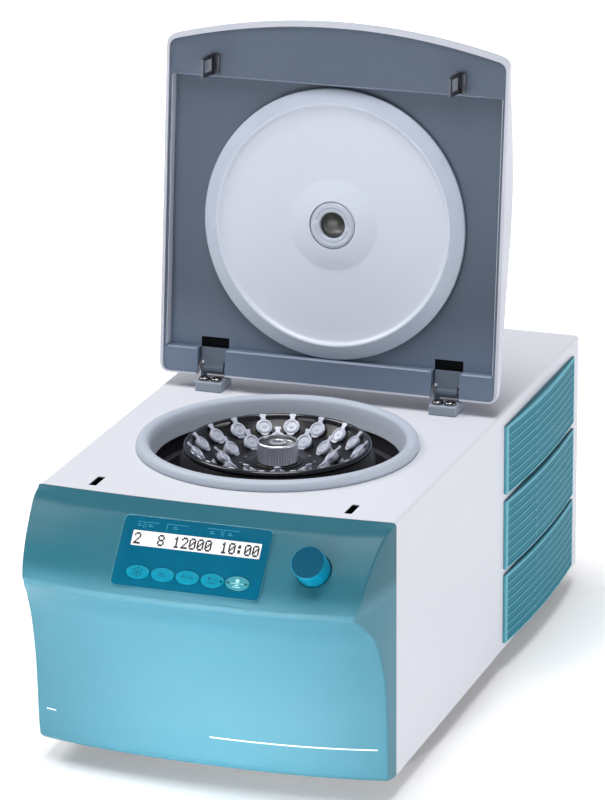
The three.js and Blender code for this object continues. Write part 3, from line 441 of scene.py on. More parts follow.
def curve_of(rows, column):
    """A smooth curve through a table of rising values that never overshoots them."""
    x = np.array([r[0] for r in rows], float)
    y = np.array([r[column] for r in rows], float)
    h, d = np.diff(x), np.diff(y) / np.diff(x)
    m = np.zeros(len(x))
    for i in range(1, len(x) - 1):
        if d[i - 1] * d[i] > 0:
            w1, w2 = 2 * h[i] + h[i - 1], h[i] + 2 * h[i - 1]
            m[i] = (w1 + w2) / (w1 / d[i - 1] + w2 / d[i])
    m[0], m[-1] = d[0], d[-1]

    def at(v):
        v = min(max(v, x[0]), x[-1])
        i = min(int(np.searchsorted(x, v, side="right")) - 1, len(x) - 2)
        i = max(i, 0)
        t = (v - x[i]) / h[i]
        return float(
            (2 * t**3 - 3 * t**2 + 1) * y[i] + (t**3 - 2 * t**2 + t) * h[i] * m[i] + (3 * t**2 - 2 * t**3) * y[i + 1] + (t**3 - t**2) * h[i] * m[i + 1]
        )

    return at


def smooth(t):
    t = min(1.0, max(0.0, t))
    return t * t * (3 - 2 * t)


def lerp(t, a, b):
    return a + (b - a) * t


# ---------------------------------------------------------------- front shell
SHELL = [
    (0, -12.5, 138, 13.5), (3, -15.6, 139.3, 12.6), (20, -17.1, 139.7, 12), (60, -19.6, 139.6, 11), (80, -22.4, 139.5, 10.8),
    (100, -28.5, 138.5, 10.6), (110, -32.5, 137.9, 10.6), (120, -38.7, 136.8, 10.7), (130, -48.3, 133.7, 10.9), (140, -59.7, 130.5, 11),
    (144, -63.2, 129.3, 11.2), (147, -63.5, 129.9, 11.2), (150, -61.4, 131, 11.2), (155, -58.5, 131.9, 11.5), (160, -54.4, 132.9, 12),
    (170, -46.6, 134.3, 13.3), (180, -36.9, 135.7, 14.6), (190, -25.3, 137.4, 16), (195, -17.5, 138.5, 16.4), (197, -8.5, 139.8, 16.5),
    (199.7, -3, 140.2, 6),
]
corner_y, corner_x, bow_at = curve_of(SHELL, 1), curve_of(SHELL, 2), curve_of(SHELL, 3)


def shell_y(x, z):
    y, xe, bow = corner_y(z), corner_x(z), bow_at(z)
    if 147 < z < 197:
        chord = -16.2 - ((196 - z) / 49) * 47.3
        keep = 0.75 * (1 - smooth((abs(x) - 60) / 50)) * min(1, (z - 147) / 3) * min(1, (197 - z) / 4)
        y -= (y - chord) * keep
    return y - bow * (1 - min(1, abs(x) / xe) ** 2.5)


def shell_ring(z, inset=0.0, back=-0.3):
    w, xe = HALF_W - 0.1 - inset, corner_x(z) - inset
    front = lambda x: shell_y(x * (xe + inset) / xe, z) + 1.2 * inset
    yc = front(xe)
    r = min(1.7, abs(yc - back) * 0.3)
    tr = 1 - r / max(abs(yc - back), 0.01)
    half = [(lerp(t**1.5, w, xe), lerp(t, back, yc)) for t in (0, 0.3 * tr, 0.6 * tr, 0.85 * tr)]
    p0 = (lerp(tr**1.5, w, xe), lerp(tr, back, yc))
    p2 = (xe - r, front(xe - r))
    half += [tuple((1 - t) ** 2 * a + 2 * t * (1 - t) * b + t * t * c for a, b, c in zip(p0, (xe, yc), p2)) for t in (0, 0.2, 0.4, 0.6, 0.8, 1)]
    middle = [(x, front(x)) for x in np.linspace(xe - r, -(xe - r), 63)[1:-1]]
    ring = half + middle + [(-x, y) for x, y in reversed(half)]
    return [(x, y, z) for x, y in ring]


def front_shell():
    zs = [0, 0.6, 1.4, 3] + list(np.arange(6, 100, 5)) + list(np.arange(100, 138, 2)) + list(np.arange(138, 152, 0.7)) + list(np.arange(152.5, 193, 2.2)) + [193.6, 194.6, 195.3, 196, 196.5, 197, 197.6, 198.3, 199, 199.5, 199.7]
    o = piece("front_shell_moulding", *tube_of([shell_ring(float(z)) for z in zs]), ["teal", "gap"], tool=True)
    inside = [2.6] + list(np.arange(8, 136, 8)) + list(np.arange(136, 156, 2)) + list(np.arange(158, 192, 4)) + [193.2]
    hollow = piece("t0", *tube_of([shell_ring(float(z), 2.6, 6.0) for z in inside]), "teal", tool=True)
    seats = [
        piece("t", *prism(rounded(120, 59.4, 5), -5.2, 12), "teal", place=ON_PANEL, tool=True),
        piece("t", *lathe([(0, -8), (17.6, -8), (17.6, 12), (0, 12)], 64), "teal", place=ON_KNOB, tool=True),
    ]
    carve(hollow, seats)
    # the deeper panel pocket and the knob hole leave black cut faces: painted shade
    tools = [
        hollow,
        piece("t1", *prism(rounded(115.6, 55, 3.8), -2.7, 12), "teal", place=ON_PANEL, tool=True),
        piece("t2", *prism(rounded(107, 46.4, 3), -12, 8), "gap", place=ON_PANEL, tool=True),
        piece("t3", *lathe([(0, -12), (13.5, -12), (13.5, 12), (0, 12)], 96), "gap", place=ON_KNOB, tool=True),
    ]
    over = [(-160, 20), (160, 20)] + [(x, -2.8 - 5.5 * (1 - (x / HALF_W) ** 2)) for x in np.linspace(160, -160, 50)]
    tools.append(piece("t4", *prism([p for p in over], CASE_H - 2.3, CASE_H + 5), "teal", tool=True))
    carve(o, tools, angle=26)
    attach(o, "case")
    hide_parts("front_shell")
    # thin lip round the panel, in a lighter teal that the console's painted shade leaves out: a painted highlight round
    # the recess
    inner = rounded(115.4, 54.8, 3.8)
    lip = []
    for z, pts in ((-0.6, rounded(116.5, 55.9, 4.3)), (0.08, rounded(116.4, 55.8, 4.2)), (0.14, rounded(116.0, 55.4, 4.0)), (-0.1, inner), (-1.2, inner)):
        lip.append([(x, y, z) for x, y in pts])
    lip.append(lip[0])
    piece("panel_lip", *tube_of(lip, caps=False), "teal_lip", place=ON_PANEL, slot="shell_teal")
    # well that the knob turns in, black all over: painted shade in the recess round the knob
    piece("knob_well", *lathe([(13.65, -0.9), (13.65, -6), (0, -6), (0, -5.4), (13.3, -5.4), (13.3, -0.9)], 64), "gap", place=ON_KNOB, slot="shell_teal")
    # thin stripe low on the front
    for name, x0, x1 in (("left", -131.5, -123.4), ("right", 3.7, 132.3)):
        rows = []
        for x in np.linspace(x0, x1, 2 if x1 - x0 < 20 else 40):
            z = 26.4 - 2.2 * (1 - ((x) / 131) ** 2)
            a, b = (x, shell_y(x, z - 0.45) - 0.06, z - 0.45), (x, shell_y(x, z + 0.45) - 0.06, z + 0.45)
            rows.append([a, b, (x, b[1] + 0.2, b[2]), (x, a[1] + 0.2, a[2])])
        piece("stripe_" + name, *tube_of(rows), "stripe", slot="shell_teal")


front_shell()


# ---------------------------------------------------------------- panel, display, keys, knob
def ring_plate(outer_pts, z0, z1, edge=0.35):
    """Plate with a soft upper edge."""
    cx = sum(p[0] for p in outer_pts) / len(outer_pts)
    cy = sum(p[1] for p in outer_pts) / len(outer_pts)

    def inset(d):
        out = []
        n = len(outer_pts)
        for i, (x, y) in enumerate(outer_pts):
            (xa, ya), (xb, yb) = outer_pts[i - 1], outer_pts[(i + 1) % n]
            tx, ty = xb - xa, yb - ya
            k = math.hypot(tx, ty) or 1
            out.append((x - ty / k * d, y + tx / k * d))
        return out

    rows = [[(x, y, z0) for x, y in outer_pts], [(x, y, z1 - edge) for x, y in outer_pts]]
    for a in (30, 60, 90):
        a = math.radians(a)
        rows.append([(x, y, z1 - edge + edge * math.sin(a)) for x, y in inset(edge * (1 - math.cos(a)))])
    return tube_of(rows)


DIGITS = {
    "0": "01110 10001 10011 10101 11001 10001 01110", "1": "00100 01100 00100 00100 00100 00100 01110",
    "2": "01110 10001 00001 00010 00100 01000 11111", "3": "11111 00010 00100 00010 00001 10001 01110",
    "4": "00010 00110 01010 10010 11111 00010 00010", "5": "11111 10000 11110 00001 00001 10001 01110",
    "6": "00110 01000 10000 11110 10001 10001 01110", "8": "01110 10001 10001 01110 10001 10001 01110",
    ":": "00000 01100 01100 00000 01100 01100 00000", " ": "00000 00000 00000 00000 00000 00000 00000",
}


def flat(points, z):
    return [(x, y, z) for x, y in points], [tuple(range(len(points)))]


def stroke(pts, w, z):
    """Flat line of one width along a few points."""
    parts = []
    for (xa, ya), (xb, yb) in zip(pts, pts[1:]):
        k = math.hypot(xb - xa, yb - ya)
        ux, uy = (xb - xa) / k * w / 2, (yb - ya) / k * w / 2
        parts.append(flat([(xa - ux + uy, ya - uy - ux), (xb + ux + uy, yb + uy - ux), (xb + ux - uy, yb + uy + ux), (xa - ux - uy, ya - uy + ux)], z))
    return many(parts)


def thick(vf, depth=0.12):
    """Gives a flat mark a little thickness, so that it is a closed sliver."""
    v, f = vf
    n = len(v)
    verts = list(v) + [(x, y, z - depth) for x, y, z in v]
    faces = list(f)
    for q in f:
        faces.append(tuple(i + n for i in reversed(q)))
        for a, b in zip(q, q[1:] + q[:1]):
            faces.append((a, a + n, b + n, b))
    return verts, faces


def panel():
    plate = ring_plate(rounded(115, 54.4, 3.4, 10), -2.4, 0)
    o = piece("control_panel_face", *plate, ["panel", "gap"], place=ON_PANEL, tool=True)
    tools = [piece("t", *prism(rounded(100.6, 12.2, 0.8, 4, 1.0, 10.3), -5, 5), "panel", place=ON_PANEL, tool=True)]
    # the key holes leave black cut faces: painted shade round each key
    for x in KEY_X:
        tools.append(piece("t", *prism(oval(19.0, 11.6, 48, x, KEY_SLOPE), -5, 5), "gap", place=ON_PANEL, tool=True))
    carve(o, tools, angle=30)
    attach(o, "case")
    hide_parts("control_panel")
    lcd = ring_plate(rounded(100.4, 12.0, 0.7, 4, 1.0, 10.3), -4.6, -0.25, 0.1)
    piece("lcd_window", *lcd, "lcd", place=ON_PANEL, replaces=["lcd_display"], slot="lcd_white")
    # dot-matrix figures
    text, pitch, px, py = "2  8 12000 10:00", 6.16, 1.0, 1.25
    parts = []
    for i, ch in enumerate(text):
        for r, row in enumerate(DIGITS[ch].split()):
            for c, on in enumerate(row):
                if on == "1":
                    x = 1.0 - 49.3 + i * pitch + 0.7 + c * px
                    y = 10.3 + 4.35 - r * py
                    w, h = px * 1.34, py * 1.26
                    parts.append(flat([(x, y - h), (x + w, y - h), (x + w, y), (x, y)], -0.2))
    piece("lcd_figures", *thick(many(parts), 0.08), "lcd_ink", place=ON_PANEL, smooth=False, slot="lcd_white")
    # thin brackets over the fields of the display
    y0, y1 = 18.4, 23.0
    marks = []
    for pts in (
        [(-47, y1), (-42.2, y1), (-42.2, y0)], [(-40.6, y0), (-40.6, y1), (-31, y1)],
        [(-24, y0), (-24, y1 + 0.3), (-8, y1 + 0.3)], [(7, y1 + 0.6), (18.6, y1 + 0.6), (18.6, y0)], [(20.2, y0), (20.2, y1 + 0.6), (32, y1 + 0.6)],
    ):
        marks.append(stroke(pts, 0.38, 0.05))
    for x in (-45.2, -36.6, -17, 11.5, 25.5):
        marks.append(stroke([(x - 1.6, 19.9), (x + 1.6, 19.9)], 0.5, 0.05))
        marks.append(stroke([(x - 1.6, 21.2), (x + 0.6, 21.2)], 0.5, 0.05))
    piece("panel_marks", *thick(many(marks), 0.08), "print", place=ON_PANEL, smooth=False, slot="panel_teal")
    # keys: low domes with a soft rim
    names = ["cooling", "rcf", "select", "start", "stop"]
    for i, name in enumerate(names):
        x, n = KEY_X[i], 56
        rings = []
        for z, k in ((-2.3, 1), (0.1, 1), (0.45, 0.985), (0.62, 0.95), (0.72, 0.86), (0.78, 0.6), (0.8, 0.3)):
            rings.append([(px_, py_, z) for px_, py_ in oval(18.4 * k, 11 * k, n, x, KEY_SLOPE)])
        mat = "key_green" if name == "stop" else "key"
        cap = tube_of(rings)
        stem = prism(oval(7, 6, 20, x, KEY_SLOPE), -4.8, -2.2)
        piece("key_cap_" + name, *many([cap, stem]), mat, body="key_" + name, place=ON_PANEL, replaces=["key_" + name], slot="key_green" if name == "stop" else "key_teal")
        z, cx, cy = 0.86, x, KEY_SLOPE
        icon = []
        if name == "cooling":
            for k in range(6):
                a = tau * k / 6 + tau / 12
                d = (math.cos(a), math.sin(a))
                icon.append(stroke([(cx + d[0] * 0.3, cy + d[1] * 0.3), (cx + d[0] * 3.9, cy + d[1] * 3.9)], 0.5, z))
                for s in (-1, 1):
                    b = a + s * 0.75
                    m = (cx + d[0] * 2.3, cy + d[1] * 2.3)
                    icon.append(stroke([m, (m[0] + 1.5 * math.cos(b), m[1] + 1.5 * math.sin(b))], 0.42, z))
        elif name == "rcf":
            icon += [stroke([(cx - 2.8, cy - 1.3 + k * 1.3), (cx + 2.8 - k * 1.2, cy - 1.3 + k * 1.3)], 0.55, z) for k in range(3)]
        elif name == "select":
            icon += [stroke([(cx - 4.4, cy + 0.1), (cx - 2.9, cy + 1.5)], 0.5, z), stroke([(cx - 4.4, cy + 0.1), (cx - 2.9, cy - 1.3)], 0.5, z)]
            icon += [stroke([(cx + 4.4, cy + 0.1), (cx + 2.9, cy + 1.5)], 0.5, z), stroke([(cx + 4.4, cy + 0.1), (cx + 2.9, cy - 1.3)], 0.5, z)]
            icon += [stroke([(cx - 3.9, cy + 0.1), (cx + 3.9, cy + 0.1)], 0.45, z)]
        elif name == "start":
            icon += [flat([(cx - 3.4, cy + 2.6), (cx - 3.4, cy - 0.2), (cx - 0.4, cy + 1.2)], z), stroke([(cx + 0.6, cy + 1.2), (cx + 3.6, cy + 1.2)], 0.5, z)]
            icon += [stroke([(cx - 4.6, cy - 0.8), (cx + 4.6, cy - 0.8)], 0.3, z), stroke([(cx - 3.2, cy - 2.3), (cx + 3.2, cy - 2.3)], 0.6, z)]
        else:
            icon += [flat([(cx - 1.3, cy + 0.5), (cx + 1.3, cy + 0.5), (cx + 1.3, cy + 3.0), (cx - 1.3, cy + 3.0)], z), stroke([(cx - 4.6, cy - 0.3), (cx + 4.6, cy - 0.3)], 0.35, z)]
            icon += [stroke([(cx - 2.6, cy - 3.0), (cx + 2.6, cy - 3.0)], 0.55, z), flat([(cx - 2.0, cy - 1.9), (cx + 2.0, cy - 1.9), (cx, cy - 0.9)], z)]
        piece("key_icon_" + name, *thick(many(icon), 0.12), "key_light" if name == "stop" else "key_ink", body="key_" + name, place=ON_PANEL, smooth=False, slot="key_teal")
        lamps = {"start": [6.9], "stop": [-7.0, 6.9]}.get(name, [])
        if lamps:
            parts = [prism(oval(1.7, 1.7, 20, cx + dx, cy - 0.1), 0.4, 0.84) for dx in lamps]
            piece("key_lamp_" + name, *many(parts), "dot", body="key_" + name, place=ON_PANEL, slot="black_plastic")
    # knob
    side = [(0, -3.2), (12.2, -3.2), (12.8, -2.6), (12.8, 14.7), (12.68, 15.2), (12.35, 15.5), (11.9, 15.6)]
    piece("knob_body", *lathe(side + [(11.9, 15.1), (0, 15.1)], 96), "knob_side", body="knob", place=ON_KNOB, replaces=["control_knob"], slot="knob_teal")
    face = [(0, 15.2), (12.2, 15.2), (12.25, 15.5), (11.9, 15.72), (9.2, 15.6), (5, 15.45), (0, 15.4)]
    piece("knob_face", *lathe(face, 96), "knob_face", body="knob", place=ON_KNOB, slot="knob_teal")


panel()


# ---------------------------------------------------------------- housing
def housing():
    w, top, r = HALF_W, CASE_H, 3.4
    arc = lambda cx, cz, rr, a0, a1, n=8: [(cx + rr * math.cos(math.radians(lerp(i / n, a0, a1))), cz + rr * math.sin(math.radians(lerp(i / n, a0, a1)))) for i in range(n + 1)]
    outer = [(-w, 0), (w, 0)] + arc(w - r, top - r, r, 0, 90) + arc(-w + r, top - r, r, 90, 180)
    t = 2.0
    inner = [(-w + t, -5), (w - t, -5)] + arc(w - r, top - r, r - t, 0, 90) + arc(-w + r, top - r, r - t, 90, 180)
    along = lambda pts, y0, y1: tube_of([[(x, y0, z) for x, z in pts], [(x, y1, z) for x, z in pts]])
    o = piece("housing_sheet", *along(outer, -9, CASE_D), ["white", "gap"], tool=True)
    plan = [(-160, -30), (160, -30)] + [(x, -2.5 - 5.5 * (1 - min(1, (x / HALF_W) ** 2))) for x in np.linspace(160, -160, 60)]
    tools = [
        piece("t", *along(inner, -20, CASE_D + 10), "white", tool=True),
        piece("t", *prism(plan, -1, CASE_H + 2), "white", tool=True),
        piece("t", *block(-150, -20, -1, 150, 0, CASE_H - 2), "white", tool=True),
        piece("t", *lathe([(0, 190), (101.2, 190), (101.2, 210), (0, 210)], 96, 0, BOWL_Y), "white", tool=True),
    ]
    for s in (-1, 1):
        tools.append(piece("t", *prism(rounded(6, 20.5, 0.8, 3, s * HOOK_X, 15.75), 195, 205), "white", tool=True))
    carve(o, tools, angle=30)
    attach(o, "case")
    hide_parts("housing_case")
    soften(o, 0.0004, 2, 50)
    # painted shade: a black sleeve under each latch slot
    for s, side in ((-1, "left"), (1, "right")):
        rings = []
        for z, dx in ((199.3, 0), (188.6, 0), (188.6, 0.8), (199.3, 0.8)):
            rings.append([(x, y, z) for x, y in rounded(6 + 2 * dx - 0.02, 20.5 + 2 * dx - 0.02, 0.8 + dx, 3, s * HOOK_X, 15.75)])
        rings.append(rings[0])
        piece("latch_slot_painted_shade_" + side, *tube_of(rings, caps=False), "gap", slot="steel")


housing()


# ---------------------------------------------------------------- side vents
def vent(side, row):
    z0, z1 = VENT_Z[row]
    ya, yb = VENT_Y
    mid, half = (ya + yb) / 2, (yb - ya) / 2
    base = HALF_W + 0.3
    slats, ledge, drop = 8, 0.95, 0.55
    top, low, front, rear = 1.6, 1.2, 5.0, 3.0
    pitch = (z1 - z0 - top - low) / slats
    levels = [(z0, 0.0, 1), (z0 + low, 0.0, 1)]  # height, how far in, material
    for k in range(slats):
        zb = z0 + low + k * pitch
        levels.append((zb + 0.02, -drop, 0))
        levels.append((zb + pitch - ledge - 0.1, -drop * 0.9, 0))
        levels.append((zb + pitch - ledge, -0.12, 1))
        levels.append((zb + pitch - ledge * 0.75, 0.0, 1))
        levels.append((zb + pitch - 0.2, 0.0, 1))
        levels.append((zb + pitch - 0.02, -0.15, 1))
    levels.append((z1 - 0.7, 0.0, 1))
    levels.append((z1, -1.6, 1))
    ys = [ya, ya + 0.3, ya + front - 0.5, ya + front] + list(np.linspace(ya + front + 5, yb - rear - 5, 34)) + [yb - rear, yb - rear + 0.4, yb]
    def bulge(y):
        return 2 + 4 * (1 - ((y - mid) / half) ** 2)
    verts, faces, mats = [], [], []
    n = len(ys)
    for z, inn, _ in levels:
        for j, y in enumerate(ys):
            inside = 1.0 if 3 <= j <= n - 3 else 0.0
            if z == z1:
                inside = 0.3 + 0.7 * (bulge(y) - 2) / 4
            zz = z
            x = base + max(0.4, bulge(y) + inn * inside)
            if j == 0 or j == n - 1:
                x = base + bulge(y) - 0.5
            verts.append((side * x, y, zz))
    for k in range(len(levels) - 1):
        for j in range(n - 1):
            faces.append((k * n + j, k * n + j + 1, (k + 1) * n + j + 1, (k + 1) * n + j))
            # ledges and the frame take the lighter teal, a painted highlight; the recessed slat faces keep the darker
            # vent teal
            edge = j < 3 or j >= n - 3
            mats.append(1 if edge or levels[k + 1][2] == 1 and levels[k][2] == 1 else 0)
    # back and rims
    k0 = len(verts)
    for z in (z0, z1):
        for y in ys:
            verts.append((side * base, y, z))
    last = (len(levels) - 1) * n
    # the rims and back take the lighter painted-highlight teal, and the top rim the darker painted-shade teal
    for j in range(n - 1):
        faces.append((j, j + 1, k0 + j + 1, k0 + j)); mats.append(1)
        faces.append((last + j, last + j + 1, k0 + n + j + 1, k0 + n + j)); mats.append(2)
        faces.append((k0 + j, k0 + j + 1, k0 + n + j + 1, k0 + n + j)); mats.append(1)
    for j in (0, n - 1):
        faces.append(tuple([k * n + j for k in range(len(levels))] + [k0 + n + j, k0 + j])); mats.append(1)
    name = f"vent_cover_{'left' if side < 0 else 'right'}_{['lower', 'middle', 'upper'][row]}"
    o = piece(name, verts, faces, ["vent", "vent_edge", "vent_painted_shade"], replaces=[name.replace("_cover", "")], slot="vent_teal", angle=28)
    if len(o.data.polygons) == len(mats):
        o.data.polygons.foreach_set("material_index", mats)
    # small ribs that tie the slats together, in one column, in the lighter teal of the painted highlight
    parts = []
    y = lerp(0.37, ya, yb)
    for k in range(slats):
        zb = z0 + low + k * pitch + pitch - ledge
        x = base + bulge(y)
        parts.append(moved(block(-0.5, -0.8, -1.5, 0.25, 0.8, 0.7), Matrix.Translation((x * side, y, zb)) @ Matrix.Scale(side, 4, (1, 0, 0))))
    piece(name.replace("cover", "ribs"), *many(parts), "vent_edge", slot="vent_teal")


for side in (-1, 1):
    for row in range(3):
        vent(side, row)


# ---------------------------------------------------------------- seal, bowl
def arc_pts(cx, cz, r, a0, a1, n):
    return [(cx + r * math.cos(math.radians(lerp(i / n, a0, a1))), cz + r * math.sin(math.radians(lerp(i / n, a0, a1)))) for i in range(n + 1)]


seal = [(108.2, 200.3), (108.8, 201.4), (108.75, 202.6)] + arc_pts(103.4, 202.7, 5.2, 8, 168, 18)[1:] + [
    (97.9, 202.2), (97.1, 199.5), (96.2, 195.4), (95.3, 192.0), (94.8, 190.4), (94.7, 189.8), (95.0, 189.4), (95.9, 189.2), (95.9, 180.5), (95.7, 178.7), (96.3, 178.4), (99.3, 178.4), (99.7, 198.5), (99.8, 200.3)]
ring = piece("seal_ring", *lathe(seal, 128, 0, BOWL_Y), ["rubber", "bowl"], replaces=["bowl_seal"], slot="seal_grey", angle=40)
# painted shade: the seal's lower inner wall, down in the bowl, takes the bowl's dark colour instead of the grey rubber
for q in ring.data.polygons:
    c = TO_WORLD.inverted() @ q.center
    q.material_index = 1 if c.z < 189.3 and math.hypot(c.x, c.y - BOWL_Y) < 98 else 0
bowl = [(14, 112), (14, 120), (16, 120), (16.4, 115), (20, 114), (80, 114)] + [(p[0], p[1]) for p in arc_pts(82, 122, 8, -90, 0, 8)] + [
    (90, 130), (90, 150), (90, 176), (90.6, 177.4), (92, 178.1), (97.9, 178.1), (97.9, 176.2), (92.2, 176), (92.2, 122), (88, 114), (82, 112)]
piece("chamber_bowl", *lathe(bowl, 96, 0, BOWL_Y), "bowl", replaces=["rotor_chamber"], slot="bowl_dark")

# ---------------------------------------------------------------- rotor, nut, tubes
OUTER = [math.radians(20 * i + ROTOR_ANGLE) for i in range(18)]
INNER = [math.radians(30 * i + 20 + ROTOR_ANGLE) for i in range(12)]
AXIS = TO_WORLD @ Matrix.Translation((0, BOWL_Y, 0))


def rotor():
    body = [(7.95, 168.6), (10.2, 146), (10.2, 143), (24, 143), (58, 148), (79, 157), (83.8, 163), (84.5, 166), (84.5, 171), (83.6, 174.5), (73.2, 196.6), (71.9, 198.6),
            (70.2, 199.2), (68.4, 199.6), (67.0, 198.0), (60.5, 191.4), (53, 188.6), (46, 187.4), (34, 186.8), (20.4, 186.6), (19.6, 187.0), (19, 188.2), (4.4, 188.2), (4.4, 169.4)]
    piece("rotor_dish", *lathe(body, 144), "rotor", body="rotor", place=AXIS, replaces=["rotor"], slot="rotor_black", angle=30)
    rim = [(71.3, 198.4), (72.1, 199.2), (72.4, 200.5), (72.1, 202.0), (71.2, 202.9), (70.0, 203.1), (69.0, 202.7), (68.3, 201.7), (68.0, 200.3), (67.7, 198.9)]
    piece("rotor_rim", *lathe(rim, 144), "rotor_rim", body="rotor", place=AXIS, slot="rotor_black", angle=50)
    # bore mouths: dark collars that the tubes stand in
    collars = []
    for angles, r, z in ((OUTER, 61.4, 195.4), (INNER, 40.6, 191.6)):
        for a in angles:
            m = tube_frame(a, r, z)
            collars.append(moved(lathe([(5.2, -6.4), (5.9, -6.4), (6.0, -4.2), (5.6, -3.9), (5.2, -4.4)], 24), m))
    piece("rotor_bore_collars", *many(collars), "rotor_rim", body="rotor", place=AXIS, slot="rotor_black")


def tube_frame(a, r, z):
    """Frame of a tube's cap: z out of the cap, x towards its hinge."""
    s = math.sqrt(0.5)
    zx = Vector((-math.cos(a) * s, -math.sin(a) * s, s))
    xx = Vector((math.cos(a) * s, math.sin(a) * s, s))
    yx = zx.cross(xx)
    m = Matrix((xx, yx, zx)).transposed().to_4x4()
    return Matrix.Translation((r * math.cos(a), r * math.sin(a), z)) @ m


def tube_parts():
    outline = []
    n = 48
    for i in range(n):
        a = tau * i / n - math.pi
        c, s = math.cos(a), math.sin(a)
        # short wide lift lip opposite the hinge
        r = 6.4 + 1.3 * smooth((0.52 - abs(math.pi - abs(a))) / 0.2)
        outline.append((r * c, r * s))
    cap = []
    for z, k in ((-0.6, 0.96), (-0.2, 1.0), (0.3, 1.0), (0.55, 0.97)):
        cap.append([(x * k, y * k, z) for x, y in outline])
    cap_vf = tube_of(cap)
    ring = lathe([(5.5, 0.5), (5.45, 1.1), (5.1, 1.3), (4.5, 1.25), (4.2, 0.95), (4.15, 0.5)], 32)
    dimple = lathe([(0, 0.5), (1.6, 0.5), (1.5, 0.8), (1.1, 0.95), (0, 0.95)], 24)
    tab = prism([(5.6, -2.0), (8.6, -1.7), (9.0, -2.5), (10.6, -2.4), (10.9, -1.6), (10.9, 1.6), (10.6, 2.4), (9.0, 2.5), (8.6, 1.7), (5.6, 2.0)], -0.35, 0.55)
    neck = lathe([(0, -12.5), (4.9, -12.5), (4.9, -2.4), (5.9, -2.3), (5.9, -0.7), (0, -0.7)], 28)
    return many([cap_vf, ring, dimple, tab, neck])


def tubes():
    one = tube_parts()
    for name, angles, r, z in (("outer", OUTER, 61.4, 195.4), ("inner", INNER, 40.6, 191.6)):
        parts = [moved(one, tube_frame(a, r, z)) for a in angles]
        piece("sample_tubes_" + name, *many(parts), "tube", body="rotor", place=AXIS, slot="port_clear", angle=40)


def digits():
    """Plain numbers beside the bores, engraved on the dish."""
    parts, k = [], 0
    for angles, r in ((OUTER, 50.6), (INNER, 28.5)):
        for a in angles:
            k += 1
            cu = bpy.data.curves.new("n", "FONT")
            cu.body, cu.size, cu.align_x, cu.align_y = str(k), 3.4, "CENTER", "CENTER"
            o = bpy.data.objects.new("n", cu)
            bpy.context.scene.collection.objects.link(o)
            dg = bpy.context.evaluated_depsgraph_get()
            me = bpy.data.meshes.new_from_object(o.evaluated_get(dg))
            z = 188.25 if r > 40 else 186.95
            m = Matrix.Rotation(a, 4, "Z") @ Matrix.Translation((r, 0, z)) @ Matrix.Rotation(math.radians(90), 4, "Z")
            parts.append(([tuple(m @ v.co) for v in me.vertices], [tuple(p.vertices) for p in me.polygons]))
            bpy.data.objects.remove(o)
            bpy.data.curves.remove(cu)
            bpy.data.meshes.remove(me)
    piece("rotor_numbers", *thick(many(parts), 0.1), "ink_light", body="rotor", place=AXIS, smooth=False, slot="rotor_black")


def nut():
    n, rings = 360, []
    def flute(i):
        t = (i / n * 45) % 1
        return 0.5 - 0.5 * math.cos(tau * t)
    rows = [(188.4, 15.1, 0), (188.9, 15.6, 0), (189.3, 15.75, 0.4), (189.8, 15.85, 1), (201.6, 15.85, 1), (202.3, 15.88, 0.4), (202.7, 15.9, 0), (203.5, 15.8, 0), (204.0, 15.5, 0), (204.3, 15.1, 0)]
    for z, r, depth in rows:
        rings.append([((r - 0.7 * depth * flute(i)) * math.cos(tau * i / n), (r - 0.7 * depth * flute(i)) * math.sin(tau * i / n), z) for i in range(n)])
    for z, r in ((204.4, 14.8), (204.3, 14.4), (203.7, 14.1), (201.2, 13.7), (200.7, 13.2), (200.5, 12.4), (200.5, 7.6), (200.9, 7.1), (203.0, 6.7), (203.7, 6.3), (204.0, 5.7), (204.0, 4.6), (203.5, 4.2), (202.0, 4.1)):
        rings.append([(r * math.cos(tau * i / n), r * math.sin(tau * i / n), z) for i in range(n)])
    o = piece("nut_body", *tube_of(rings), ["nut", "nut_dark"], body="nut", place=AXIS, replaces=["rotor_nut"], slot="nut_steel", angle=30)
    # painted shade: the recessed ring of the nut and the hex in it are a darker steel than the rest
    for q in o.data.polygons:
        c = AXIS.inverted() @ q.center
        q.material_index = 1 if c.z < 202.8 and 6.7 < math.hypot(c.x, c.y) < 14.1 and c.z > 200 else 0
    hexa = [(3.6 * math.cos(tau * i / 6), 3.6 * math.sin(tau * i / 6)) for i in range(6)]
    rings = [[(x * k, y * k, z) for x, y in hexa] for k, z in ((1, 202.2), (1, 203.3), (0.9, 203.6), (0.55, 203.6), (0.5, 203.0))]
    piece("nut_key", *tube_of(rings), "nut_dark", body="nut", place=AXIS, slot="nut_steel")


rotor()
tubes()
digits()
nut()


# ---------------------------------------------------------------- lid
LID_WALL = [(-4, 5.2), (0, 6), (12, 8), (54, 11.9), (97, 17), (140, 22), (165, 22.4), (190, 19), (210, 15), (232, 9.8), (251, 7), (265, 6), (286, 5.6)]
wall_at = curve_of(LID_WALL, 1)


def front_edge(x):
    return LID_FRONT - (LID_FRONT - LID_CORNER) * (abs(x) / HALF_W) ** 2


